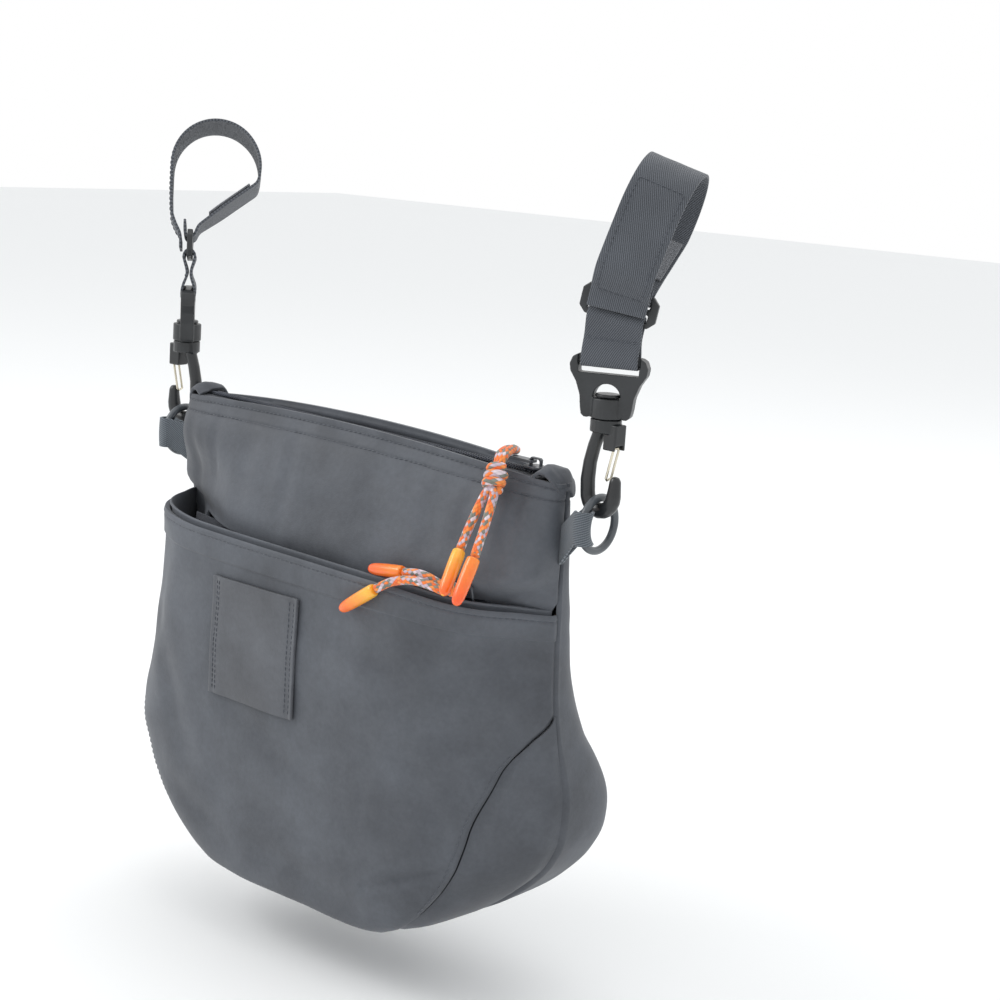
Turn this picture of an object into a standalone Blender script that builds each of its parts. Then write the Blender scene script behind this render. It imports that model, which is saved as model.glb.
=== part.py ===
"""Stroller organizer: a zipped bag with an open front pocket, hung by two strap hooks.

The bag hangs from a push bar. X runs along the bar, +Y points away from the viewer's side,
+Z is up. The origin is on the bar's axis height, halfway between the two hanging lines.
Lengths below are millimetres and angles are degrees; meshes are built in metres.
"""
from math import asin, atan2, cos, degrees, pi, radians, sin, sqrt, tan

import bmesh
import bpy
from mathutils import Matrix, Vector

MM = 0.001
SIDES = (("right", 1), ("left", -1))

# Clearances and cloth
GAP = 0.3
SEAM_GAP = 0.15
LEATHER = 2.0
HEM = 3.0
WEB = 1.3

# Hanging height and hooks
HANG_DROP = 124.0
HOOK_SPAN = 274.0
RING_INNER = 10.0
RING_WIRE = 1.85
BOW_RADIUS = 3.6
EYE_RADIUS = 4.0
SHANK_RADIUS = 3.0
NOSE_RADIUS = 2.6
NOSE_TOP = 12.4
BLOCK_LOW, BLOCK_HIGH = 23.6, 35.0
BLOCK_IN, BLOCK_OUT = 2.2, 9.0
HOOK_DEPTH = 7.0
SHOULDER_RADIUS, SHOULDER_LOW = 6.9, 31.0
STEM_RADIUS, STEM_PLAY = 3.0, 0.3
HEAD_RADIUS, HEAD_HEIGHT = 5.6, 1.5
GATE_WIRE, GATE_WIDTH, GATE_TOP_OUT = 0.6, 3.4, 7.2
HOOK_TURN = 5.0

# Yoke, slider and straps
STRAP_TURN = {"right": 24.0, "left": 42.0}
STRAP_WIDTH = 25.0
YOKE_WIDTH, YOKE_DEPTH = 34.5, 7.0
YOKE_TOP, YOKE_LOW = 64.2, 37.0
SLOT_LOW, SLOT_HIGH = 56.2, 60.4
SLOT_PLAY = 0.8
BAR_DEPTH = 4.4
COLLAR_RADIUS, COLLAR_TOP = 7.2, 45.8
WINDOW_RADIUS = 6.1
SLIDER_HEIGHT_AT, SLIDER_HEIGHT, SLIDER_WIDTH = 86.0, 13.8, 34.0
SLIDER_BAR = 2.4
GRIP_RADIUS, GRIP_BACK = 21.5, 12.0
LEAN, LEAN_START, LEAN_END = 18.0, 64.0, 104.0
CLOSURE_LOW = 85.6
PAD = 1.0

# Ring tabs
TAB_REACH_UP, TAB_REACH_DOWN = 7.0, 8.0
TAB_ROOT_HIGH, TAB_ROOT_LOW = -9.0, -27.0

# Bag: its side lies inside the hanging line at the top; bulge, depths and corner sharpness
# are given against height over the ring contact
SIDE_INSIDE = 14.5
BAG_TILT = 0.025
TOP_EDGE, TOP_ARCH, ARCH_FADE = 15.0, 6.0, 35.0
BULGE = ((15, 0), (0, 0), (-45, 0.5), (-80, 1.5), (-110, 4.5), (-140, 8.5), (-155, 7.5),
         (-170, 1.5), (-184, -10.5), (-197, -26.5), (-207, -42.5), (-215, -56.5))
SEAM_BACK = ((15, -5), (-95, -5), (-140, 0), (-215, 0))
FRONT_DEPTH = ((15, 12), (0, 19), (-20, 26.5), (-45, 33), (-60, 33), (-100, 30), (-150, 29),
               (-180, 27), (-215, 20))
FRONT_CORNER = ((15, 3.5), (-20, 4), (-45, 6), (-215, 6))
FRONT_CUT_WIDE = ((-20, 0), (-45, 0.92), (-126, 0.872), (-157, 0.828), (-190, 0.725), (-215, 0.62))
FRONT_CUT_DEEP = ((-20, 0), (-45, 0.36), (-126, 0.55), (-157, 0.56), (-190, 0.50), (-215, 0.42))
BACK_DEPTH = ((15, 12), (-20, 19), (-45, 25), (-80, 33), (-100, 38), (-150, 48), (-165, 47),
              (-185, 42), (-215, 32))
BACK_CORNER = ((15, 3), (-60, 3.2), (-110, 4), (-150, 7), (-215, 6))
POCKET_DEPTH = ((-45, 45), (-95, 46), (-140, 51), (-190, 52), (-215, 50))
POCKET_CORNER = ((-45, 8), (-215, 8))
POCKET_CUT_WIDE = ((-45, 0.92), (-126, 0.872), (-157, 0.828), (-190, 0.725), (-215, 0.62))
POCKET_CUT_DEEP = ((-45, 0.36), (-126, 0.55), (-157, 0.56), (-190, 0.50), (-215, 0.42))
LEFT_CUT = ((-45, 0.9), (-80, 0.84), (-100, 0.82), (-150, 0.8), (-170, 0.84), (-190, 0.88), (-215, 0.95))
GUSSET_ANGLE = ((-95, 0), (-110, 12), (-126, 26), (-157, 38), (-190, 40), (-215, 40))
MOUTH = -45.0
GUSSET_TOP = -97.0
LINER_INSET, LINER_INSET_FROM = 3.7, -36.0
FLOOR_INSET, FLOOR_INSET_FROM, FLOOR_INSET_FADE = 2.0, -182.0, 12.0
FLOOR_ROWS = ((-206.0, 1.0, 0.0), (-210.5, 0.99, 0.35), (-213.0, 0.95, 0.8), (-214.4, 0.8, 1.0),
              (-215.0, 0.5, 1.0), (-215.2, 0.2, 1.0), (-215.3, 0.004, 1.0))
LINER_LIFT = 5.6
FLOOR_TAPER = 0.12
PATCH_SIZE, PATCH_LEFT, PATCH_TOP, PATCH_THICK = 58.5, -52.5, -64.0, 1.6

# Main zip
ZIP_AT, ZIP_END_INSET, COIL_SHORT = 10.0, 10.5, 4.0
TAPE, COIL_WIDTH, COIL_HEIGHT, COIL_SPLIT = 0.8, 2.6, 1.9, 0.6
SLIDER_FROM_END, SLIDER_LONG, SLIDER_WIDE, PLATE = 8.0, 9.0, 9.0, 1.1
PULL_LENGTH, PULL_WIDTH, PULL_THICK, PULL_EYE, PULL_LIFT = 14.0, 5.4, 1.3, 1.5, 1.0
BRIDGE_HALF, BRIDGE_HIGH, BRIDGE_WIDE, BRIDGE_BAR = 3.2, 3.8, 1.8, 0.8
COVER_OVERLAP, COVER_HALF, COVER_THICK = 3.1, 7.4, 1.6

# Pocket zip, set in a slot of the front panel behind the pocket's mouth
SLOT_TOP, SLOT_BOTTOM, SLOT_INSET = -46.5, -58.0, 17.0
POCKET_ZIP_AT, POCKET_TAPE_AT, POCKET_ZIP_BEND = -52.0, -34.0, 465.0
POCKET_TAPE_INSET, POCKET_COIL_INSET, POCKET_SLIDER_INSET = 24.75, 26.3, 32.7
POCKET_TAPE_HALF = 5.2
BAIL_WIRE, BAIL_HALF, BAIL_TOP, BAIL_OUT = 0.6, 3.6, -39.0, 9.6

# Cords
CORD_RADIUS, TIP_RADIUS = 2.15, 3.2
KNOT_RADIUS = 5.4
MAIN_LOOP = ((91.9, -5.0, 18.4), (92.6, -9.5, 19.3), (94.0, -14.3, 19.0), (95.4, -18.0, 18.2),
             (96.65, -21.05, 16.15))
MAIN_KNOT = ((97.0, -21.9, 15.0), (98.6, -28.4, 2.6))
MAIN_STRANDS = (
    ((96.2, -29.0, 2.0), (96.3, -36.0, -9.6), (97.0, -44.4, -20.4)),
    ((100.9, -29.0, 2.0), (104.6, -38.0, -9.4), (109.2, -48.9, -20.4)),
)
MAIN_TIPS = (((97.1, -45.2, -21.3), (102.0, -60.2, -38.0)), ((109.5, -49.8, -21.3), (111.0, -62.0, -40.0)))
POCKET_LOOP = ((92.6, -35.7, -41.3), (92.8, -36.8, -41.0), (92.6, -37.9, -40.8))
POCKET_KNOT = ((92.4, -39.2, -40.6), (89.6, -43.4, -40.4))
POCKET_STRANDS = (
    ((90.7, -46.0, -40.8), (86.0, -48.6, -39.4), (76.0, -50.4, -38.8), (65.0, -51.6, -41.6),
     (57.0, -53.7, -46.4)),
    ((86.0, -43.0, -39.6), (80.0, -44.6, -37.4), (74.0, -45.2, -36.8), (66.0, -45.4, -38.0)),
)
POCKET_TIPS = (((56.2, -53.9, -47.0), (36.0, -54.0, -61.0)), ((65.1, -45.5, -38.2), (44.0, -45.0, -41.2)))

COLORS = {
    "leather": ((0.125, 0.135, 0.155), 0.75, 0.0),
    "webbing": ((0.13, 0.14, 0.16), 0.85, 0.0),
    "plastic": ((0.02, 0.021, 0.022), 0.4, 0.0),
    "enamel": ((0.08, 0.09, 0.10), 0.45, 0.2),
    "steel": ((0.62, 0.58, 0.50), 0.25, 1.0),
    "zip": ((0.05, 0.055, 0.065), 0.7, 0.0),
    "cord": ((0.62, 0.30, 0.16), 0.8, 0.0),
    "tip": ((0.90, 0.28, 0.05), 0.25, 0.0),
}


def material(node, finish):
    color, roughness, metallic = COLORS[finish]
    mat = bpy.data.materials.new(node + "_finish")
    mat.use_nodes = True
    shader = mat.node_tree.nodes["Principled BSDF"]
    shader.inputs["Base Color"].default_value = (*color, 1.0)
    shader.inputs["Roughness"].default_value = roughness
    shader.inputs["Metallic"].default_value = metallic
    return mat


def place(x, y, z):
    """A point given over the ring contact, in metres from the part's origin."""
    return Vector((x, y, z - HANG_DROP)) * MM


def on_bag(x, y, z):
    """The same for a point on the bag, which hangs a little lower on its right."""
    return place(x, y, z - BAG_TILT * x)


def curve_at(table, z):
    """Smooth value between the rows of a height table, which runs downwards."""
    if z >= table[0][0]:
        return table[0][1]
    if z <= table[-1][0]:
        return table[-1][1]
    last = len(table) - 1
    i = next(k for k in range(last) if table[k + 1][0] <= z)
    (z0, v0), (z1, v1) = table[i], table[i + 1]

    def slope(k):
        if k in (0, last):
            return 0.0
        left = (table[k][1] - table[k - 1][1]) / (table[k][0] - table[k - 1][0])
        right = (table[k + 1][1] - table[k][1]) / (table[k + 1][0] - table[k][0])
        if left * right <= 0:
            return 0.0
        return 2 * left * right / (left + right)

    span = z1 - z0
    t = (z - z0) / span
    return ((2 * t**3 - 3 * t**2 + 1) * v0 + (t**3 - 2 * t**2 + t) * span * slope(i)
            + (3 * t**2 - 2 * t**3) * v1 + (t**3 - t**2) * span * slope(i + 1))


def bag_half(z):
    """The bag's half width at a height: inside the hanging line at the top, wider below."""
    return HOOK_SPAN / 2 - SIDE_INSIDE + curve_at(BULGE, z)


def new_object(node, mesh_builder, finish):
    mesh = bpy.data.meshes.new(node)
    mesh_builder.normal_update()
    mesh_builder.to_mesh(mesh)
    mesh_builder.free()
    mesh.materials.append(material(node, finish))
    mesh.shade_smooth()
    mesh.set_sharp_from_angle(angle=radians(35))
    obj = bpy.data.objects.new(node, mesh)
    bpy.context.scene.collection.objects.link(obj)
    return obj


def shell(node, outer, inner, finish, skip=()):
    """A closed cloth panel: two grids of points, outer and inner, joined along every edge."""
    bm = bmesh.new()
    rows, columns = len(outer), len(outer[0])
    front = [[bm.verts.new(p) for p in row] for row in outer]
    back = [[bm.verts.new(p) for p in row] for row in inner]

    def filled(r, c):
        return 0 <= r < rows - 1 and 0 <= c < columns - 1 and (r, c) not in skip

    for r in range(rows - 1):
        for c in range(columns - 1):
            if not filled(r, c):
                continue
            a, b, d, e = (r, c), (r, c + 1), (r + 1, c + 1), (r + 1, c)
            bm.faces.new([front[i][j] for i, j in (a, b, d, e)])
            bm.faces.new([back[i][j] for i, j in (e, d, b, a)])
            for (p, q), (nr, nc) in (((a, b), (r - 1, c)), ((b, d), (r, c + 1)),
                                     ((d, e), (r + 1, c)), ((e, a), (r, c - 1))):
                if not filled(nr, nc):
                    bm.faces.new((front[q[0]][q[1]], front[p[0]][p[1]],
                                  back[p[0]][p[1]], back[q[0]][q[1]]))
    loose = [v for v in bm.verts if not v.link_faces]
    bmesh.ops.delete(bm, geom=loose, context="VERTS")
    bmesh.ops.recalc_face_normals(bm, faces=bm.faces)
    return new_object(node, bm, finish)


def sections(node, rings, finish, closed=False):
    """A solid through a row of rings of points, capped at both ends or closed on itself."""
    bm = bmesh.new()
    loops = [[bm.verts.new(p) for p in ring] for ring in rings]
    count = len(loops[0])
    pairs = list(zip(loops, loops[1:]))
    if closed:
        pairs.append((loops[-1], loops[0]))
    for one, two in pairs:
        for k in range(count):
            bm.faces.new((one[k], one[(k + 1) % count], two[(k + 1) % count], two[k]))
    if not closed:
        bm.faces.new(loops[0][::-1])
        bm.faces.new(loops[-1])
    bmesh.ops.recalc_face_normals(bm, faces=bm.faces)
    return new_object(node, bm, finish)


def tube(node, path, radii, finish, sides=12, closed=False):
    """A round bar along a path of points, with its own radius at each point."""
    count = len(path)
    rings = []
    side = None
    for k, point in enumerate(path):
        before = path[(k - 1) % count] if closed or k else point
        after = path[(k + 1) % count] if closed or k < count - 1 else point
        along = (after - before).normalized()
        if side is None:
            side = along.orthogonal().normalized()
        side = (side - along * side.dot(along)).normalized()
        up = along.cross(side)
        rings.append([point + (side * cos(2 * pi * s / sides) + up * sin(2 * pi * s / sides)) * radii[k]
                      for s in range(sides)])
    return sections(node, rings, finish, closed)


def solid_from_outline(node, outline, frame, depth, finish):
    """A flat plate: an outline in the frame's X and Z, given a depth along its Y."""
    bm = bmesh.new()
    low = [bm.verts.new(frame @ Vector((x, -depth / 2, z)) * MM) for x, z in outline]
    face = bm.faces.new(low)
    pushed = bmesh.ops.extrude_face_region(bm, geom=[face])
    along = (frame.to_3x3() @ Vector((0, depth, 0))) * MM
    moved = [v for v in pushed["geom"] if isinstance(v, bmesh.types.BMVert)]
    bmesh.ops.translate(bm, vec=along, verts=moved)
    bmesh.ops.recalc_face_normals(bm, faces=bm.faces)
    return new_object(node, bm, finish)


def block(node, frame, low, high, finish):
    """A box between two corners of a frame."""
    outline = ((low[0], low[2]), (high[0], low[2]), (high[0], high[2]), (low[0], high[2]))
    moved = frame @ Matrix.Translation((0, (low[1] + high[1]) / 2, 0))
    return solid_from_outline(node, outline, moved, high[1] - low[1], finish)


def rod(node, frame, radius, low, high, finish, axis="Z", sides=24):
    """A straight round bar along the frame's Z or Y axis."""
    rings = []
    for level in (low, high):
        ring = []
        for s in range(sides):
            a = 2 * pi * s / sides
            across = (radius * cos(a), radius * sin(a))
            local = (across[0], across[1], level) if axis == "Z" else (across[0], level, across[1])
            ring.append(frame @ Vector(local) * MM)
        rings.append(ring)
    return sections(node, rings, finish)


def combine(target, tool, operation):
    tool.hide_render = True
    tool.display_type = "WIRE"
    tool.hide_set(True)
    step = target.modifiers.new(operation.lower() + "_" + tool.name, "BOOLEAN")
    step.operation = operation
    step.solver = "EXACT"
    step.object = tool


def smooth_path(points, count, lift=on_bag):
    """Evenly spaced points on a smooth curve through hand-chosen ones."""
    pts = [Vector(p) for p in points]
    pts = [2 * pts[0] - pts[1]] + pts + [2 * pts[-1] - pts[-2]]
    dense = []
    for i in range(1, len(pts) - 2):
        a, b, c, d = pts[i - 1:i + 3]
        for s in range(24):
            t = s / 24
            dense.append(0.5 * (2 * b + (c - a) * t + (2 * a - 5 * b + 4 * c - d) * t**2
                                + (3 * b - a - 3 * c + d) * t**3))
    dense.append(pts[-2])
    reach = [0.0]
    for p, q in zip(dense, dense[1:]):
        reach.append(reach[-1] + (q - p).length)
    spots = []
    j = 0
    for k in range(count):
        want = reach[-1] * k / (count - 1)
        while j < len(dense) - 2 and reach[j + 1] < want:
            j += 1
        share = (want - reach[j]) / max(reach[j + 1] - reach[j], 1e-9)
        spots.append(lift(*dense[j].lerp(dense[j + 1], min(share, 1.0))))
    return spots


def cord(node, points, finish="cord", radius=CORD_RADIUS):
    """A cord as a curve with a round bevel along its smoothed route."""
    length = sum((Vector(q) - Vector(p)).length for p, q in zip(points, points[1:]))
    spots = smooth_path(points, max(5, int(length / (2.2 * radius * 2)) + 2))
    data = bpy.data.curves.new(node, "CURVE")
    data.dimensions = "3D"
    data.bevel_depth = radius * MM
    data.bevel_resolution = 2
    data.render_resolution_u = 0
    data.use_fill_caps = True
    line = data.splines.new("POLY")
    line.points.add(len(spots) - 1)
    for spot, p in zip(line.points, spots):
        spot.co = (*p, 1.0)
    data.materials.append(material(node, finish))
    obj = bpy.data.objects.new(node, data)
    bpy.context.scene.collection.objects.link(obj)
    return obj


def swollen(node, ends, shape, finish):
    """A short round body between two points; shape lists (share of length, radius)."""
    start, end = on_bag(*ends[0]), on_bag(*ends[1])
    path = [start.lerp(end, share) for share, _ in shape]
    return tube(node, path, [radius * MM for _, radius in shape], finish, sides=12)


def side_frame(side, turn, lean=0.0, height=0.0, across=0.0):
    """A frame on one hanging line: X across the strap, outwards; Y away from the viewer; Z up."""
    sign = dict(SIDES)[side]
    out = Vector((sign * cos(radians(turn)), sin(radians(turn)), 0))
    back = Vector((-sign * sin(radians(turn)), cos(radians(turn)), 0))
    up = Vector((0, 0, 1))
    wide = out * cos(radians(lean)) - up * sin(radians(lean))
    tall = out * sin(radians(lean)) + up * cos(radians(lean))
    spot = Vector((sign * HOOK_SPAN / 2, 0, -HANG_DROP)) + out * across + up * height
    frame = Matrix((wide, back, tall)).transposed().to_4x4()
    frame.translation = spot
    return frame


def lean_at(height):
    """How far the strap has leaned outwards at a height, and its angle there."""
    share = min(max((height - LEAN_START) / (LEAN_END - LEAN_START), 0.0), 1.0)
    angle = LEAN * share
    steepest = tan(radians(LEAN))
    run = min(max(height, LEAN_START), LEAN_END) - LEAN_START
    shift = 0.5 * steepest * run**2 / (LEAN_END - LEAN_START) + max(height - LEAN_END, 0.0) * steepest
    return shift, angle


def strip(node, side, path, width, thickness, finish, closed=False):
    """Webbing along a path of (back, height) points, leaning with the strap."""
    count = len(path)
    rings = []
    for k, (back, height) in enumerate(path):
        before = path[(k - 1) % count] if closed or k else path[k]
        after = path[(k + 1) % count] if closed or k < count - 1 else path[k]
        along = Vector((after[0] - before[0], after[1] - before[1])).normalized()
        normal = Vector((along.y, -along.x)) * (thickness / 2)
        shift, angle = lean_at(height)
        frame = side_frame(side, STRAP_TURN[side], angle, height, shift)
        ring = []
        for across, out in ((-1, -1), (1, -1), (1, 1), (-1, 1)):
            local = Vector((across * width / 2, back + out * normal.x, out * normal.y))
            ring.append(frame @ local * MM)
        rings.append(ring)
    return sections(node, rings, finish, closed)


def arc(center, radius, start, end, steps):
    """Points on an arc in the strap's (back, height) plane, angles from +back towards up."""
    return [(center[0] + radius * cos(radians(start + (end - start) * k / steps)),
             center[1] + radius * sin(radians(start + (end - start) * k / steps)))
            for k in range(steps + 1)]


def section(half_width, depth, corner, angle, cut=(0.0, 0.0)):
    """A point on a rounded-box section with its front corners cut off: sideways and depthways."""
    wide, deep = abs(cos(angle)), abs(sin(angle))
    sloped = (cut[0] * wide + cut[1] * deep) * (cut[2] if len(cut) > 2 and cos(angle) < 0 else 1.0)
    reach = (wide**corner + deep**corner + sloped**corner) ** (-1 / corner)
    return half_width * reach * cos(angle), depth * reach * sin(angle)


def bag_point(half_width, depth, corner, angle, z, toward, squeeze=1.0, cut=(0.0, 0.0)):
    x, y = section(half_width * (1 - FLOOR_TAPER * (1 - squeeze)), depth * squeeze, corner, angle, cut)
    arch = TOP_ARCH * (x / bag_half(TOP_EDGE)) ** 2
    fade = min(max((z - TOP_EDGE + ARCH_FADE) / ARCH_FADE, 0.0), 1.0)
    return on_bag(x, curve_at(SEAM_BACK, z) + toward * (y + SEAM_GAP), z - arch * fade)


def panel_rows(top, levels, lift=0.0):
    """Row heights from a top edge down the side and round the floor."""
    rows = [(z, 1.0, 0.0) for z in levels if FLOOR_ROWS[0][0] < z <= top]
    return rows + [(z + lift, squeeze, share) for z, squeeze, share in FLOOR_ROWS]


def no_cut(z):
    return (0.0, 0.0)


def front_cut(z):
    return (curve_at(FRONT_CUT_WIDE, z), curve_at(FRONT_CUT_DEEP, z))


def pocket_cut(z):
    return (curve_at(POCKET_CUT_WIDE, z), curve_at(POCKET_CUT_DEEP, z), curve_at(LEFT_CUT, z))


def build_panel(node, rows, angles, depth, corner, toward, thick, inset=lambda z: 0.0, skip=(),
                cut_at=no_cut):
    outer, inner = [], []
    for z, squeeze, share in rows:
        cut = cut_at(z)
        wide = bag_half(z) - inset(z)
        deep = curve_at(depth, z)
        sharp = curve_at(corner, z)
        cloth = thick(z)
        outer.append([bag_point(wide, deep, sharp, a, z, toward, squeeze, cut) for a in angles(z)])
        inner.append([bag_point(wide - cloth, deep - cloth, sharp, a, z, toward, squeeze, cut)
                      + Vector((0, 0, cloth * share * MM)) for a in angles(z)])
    return shell(node, outer, inner, "leather", skip)


def spread(start, end, count):
    return [start + (end - start) * k / count for k in range(count + 1)]


SIDE_LEVELS = (15.0, 9.0, 0.0, -14.0, -30.0, -45.0, -59.0, -78.0, -97.0, -110.0, -122.0, -136.0,
               -149.0, -160.0, -171.0, -182.0, -192.0)
LINER_LEVELS = (15.0, 9.0, 0.0, -14.0, -30.0, -37.0, SLOT_TOP, SLOT_BOTTOM, -78.0, -110.0, -140.0,
                -160.0, -180.0)


def build_bag():
    cloth = lambda z: LEATHER
    whole = lambda z: spread(0.0, pi, 28)
    build_panel("back_panel", panel_rows(TOP_EDGE, SIDE_LEVELS), whole, BACK_DEPTH, BACK_CORNER, 1, cloth)

    def liner_inset(z):
        behind_mouth = min(max((LINER_INSET_FROM - z) / (LINER_INSET_FROM - MOUTH), 0.0), 1.0)
        near_floor = min(max((FLOOR_INSET_FROM - z) / FLOOR_INSET_FADE, 0.0), 1.0)
        return LINER_INSET * behind_mouth + FLOOR_INSET * near_floor

    liner_rows = panel_rows(TOP_EDGE, LINER_LEVELS, LINER_LIFT)
    slot_row = next(r for r, row in enumerate(liner_rows) if row[0] == SLOT_TOP)
    angles = whole(0)
    at_slot = [section(bag_half(SLOT_TOP) - LINER_INSET, curve_at(FRONT_DEPTH, SLOT_TOP),
                       curve_at(FRONT_CORNER, SLOT_TOP), a, front_cut(SLOT_TOP))[0] for a in angles]
    slot_reach = bag_half(SLOT_TOP) - SLOT_INSET
    slot = {(slot_row, c) for c in range(len(angles) - 1)
            if max(abs(at_slot[c]), abs(at_slot[c + 1])) < slot_reach}
    build_panel("front_panel", liner_rows, whole, FRONT_DEPTH, FRONT_CORNER, -1, cloth, liner_inset, slot,
                front_cut)

    def seam_angle(z):
        return radians(curve_at(GUSSET_ANGLE, z))

    seam_slack = radians(0.24)

    def pocket_angles(z):
        edge = seam_angle(z) + (seam_slack if z < GUSSET_TOP + 1 else 0.0)
        return spread(edge, pi - edge, 28)

    def hem(z):
        return LEATHER + (HEM - LEATHER) * min(max((z - MOUTH + 14.0) / 4.0, 0.0), 1.0)

    build_panel("pocket_panel", panel_rows(MOUTH, SIDE_LEVELS), pocket_angles, POCKET_DEPTH,
                POCKET_CORNER, -1, hem, cut_at=pocket_cut)
    for side, sign in SIDES:
        def gusset_angles(z, sign=sign):
            edge = max(seam_angle(z) - seam_slack, radians(0.5))
            run = spread(0.0, edge, 5)
            return run if sign > 0 else [pi - a for a in run]

        build_panel("pocket_gusset_" + side, panel_rows(GUSSET_TOP, SIDE_LEVELS), gusset_angles,
                    POCKET_DEPTH, POCKET_CORNER, -1, cloth, cut_at=pocket_cut)


def build_patch():
    """The sewn-on square of leather, bare, on the flat of the pocket."""
    def face(x, z, off):
        wide, deep = bag_half(z), curve_at(POCKET_DEPTH, z)
        angle = atan2(sqrt(1 - (x / wide)**2), x / wide)
        y = section(wide, deep, curve_at(POCKET_CORNER, z), angle, pocket_cut(z))[1]
        return on_bag(x, curve_at(SEAM_BACK, z) - y - SEAM_GAP - off, z + BAG_TILT * x)

    steps = 6
    flat = min(face(PATCH_LEFT + PATCH_SIZE * i / steps, PATCH_TOP - PATCH_SIZE * j / steps, 0).y
               for i in range(steps + 1) for j in range(steps + 1))
    patch_back = flat / MM - GAP
    frame = Matrix.Translation((0, patch_back - PATCH_THICK / 2, -HANG_DROP))
    right, low = PATCH_LEFT + PATCH_SIZE, PATCH_TOP - PATCH_SIZE
    outline = ((PATCH_LEFT, low), (right, low), (right, PATCH_TOP), (PATCH_LEFT, PATCH_TOP))
    solid_from_outline("front_patch", outline, frame, PATCH_THICK, "leather")


def tilted(x, y, z):
    """A frame that leans with the bag, at a point of it."""
    frame = Matrix.Rotation(atan2(BAG_TILT, 1), 4, "Y")
    frame.translation = Vector((x, y, z - BAG_TILT * x - HANG_DROP))
    return frame


def zip_half_length():
    return bag_half(TOP_EDGE) - ZIP_END_INSET


def build_main_zip():
    back = curve_at(SEAM_BACK, TOP_EDGE)
    half_long = zip_half_length()
    wide = bag_half(TOP_EDGE) - LEATHER - GAP
    corner = {-1: curve_at(FRONT_CORNER, TOP_EDGE) - 0.4, 1: curve_at(BACK_CORNER, TOP_EDGE) - 0.4}
    depth = {-1: curve_at(FRONT_DEPTH, TOP_EDGE), 1: curve_at(BACK_DEPTH, TOP_EDGE)}
    middle = tilted(0, back, ZIP_AT)
    for name, toward in (("front", -1), ("back", 1)):
        edge = []
        reach = depth[toward] - LEATHER - GAP
        for x in spread(-half_long, half_long, 24):
            bulge = (1 - abs(x / wide) ** corner[toward]) ** (1 / corner[toward])
            edge.append((x, toward * reach * bulge))
        near = toward * (COIL_SPLIT / 2 + 0.2)
        top = [[middle @ Vector((x, y, 0)) * MM for x, y in edge],
               [middle @ Vector((x, near, 0)) * MM for x, _ in edge]]
        under = [[p - Vector((0, 0, TAPE * MM)) for p in row] for row in top]
        shell("main_zip_tape_" + name, top, under, "zip")
        low, high = sorted((toward * COIL_SPLIT / 2, toward * COIL_WIDTH))
        block("main_zip_coil_" + name, middle, (-half_long + COIL_SHORT, low, GAP),
              (half_long - COIL_SHORT, high, GAP + COIL_HEIGHT), "zip")
    slider_frame = tilted(half_long - SLIDER_FROM_END, back, ZIP_AT)
    build_slider("main_zip_slider", slider_frame)
    build_pull("main_zip_pull", slider_frame)
    for side, sign in SIDES:
        build_cover("zip_end_cover_" + side, sign, back)


def build_slider(node, frame):
    """Top and bottom plates joined by the post that parts the coils, and the pull's bridge."""
    roof = GAP + COIL_HEIGHT + GAP
    half_long, half_wide = SLIDER_LONG / 2, SLIDER_WIDE / 2
    floor = -TAPE - GAP
    shape = ((-half_long, 0.62), (-half_long + 1.2, 1.0), (half_long - 3.0, 1.0), (half_long, 0.55))
    rings = []
    for x, share in shape:
        w = half_wide * share
        rings.append([frame @ Vector((x, y, z)) * MM
                      for y, z in ((-w, roof), (w, roof), (w, roof + PLATE), (-w, roof + PLATE))])
    top = sections(node, rings, "plastic")
    lower = block(node + "_lower_plate", frame, (-half_long + 0.6, -half_wide + 0.8, floor - PLATE),
                  (half_long - 1.2, half_wide - 0.8, floor), "plastic")
    post_half = COIL_SPLIT / 2 - 0.12
    post = block(node + "_post", frame, (-1.6, -post_half, floor - 0.3),
                 (1.6, post_half, roof + 0.3), "plastic")
    bridge = bridge_for(node, frame, roof + PLATE)
    for tool in (lower, post, bridge):
        combine(top, tool, "UNION")
    return top


def bridge_for(node, frame, base):
    path = [(-BRIDGE_HALF, -0.3), (-BRIDGE_HALF, BRIDGE_HIGH - 0.8), (-BRIDGE_HALF + 0.8, BRIDGE_HIGH),
            (BRIDGE_HALF - 0.8, BRIDGE_HIGH), (BRIDGE_HALF, BRIDGE_HIGH - 0.8), (BRIDGE_HALF, -0.3)]
    inner = [(x * (1 - BRIDGE_BAR / BRIDGE_HALF), z - (BRIDGE_BAR if z > 0 else 0)) for x, z in path]
    outline = path + inner[::-1]
    moved = frame @ Matrix.Translation((0, 0, base))
    return solid_from_outline(node + "_bridge", outline, moved, BRIDGE_WIDE, "plastic")


def pull_base():
    return GAP + COIL_HEIGHT + GAP + PLATE


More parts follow.
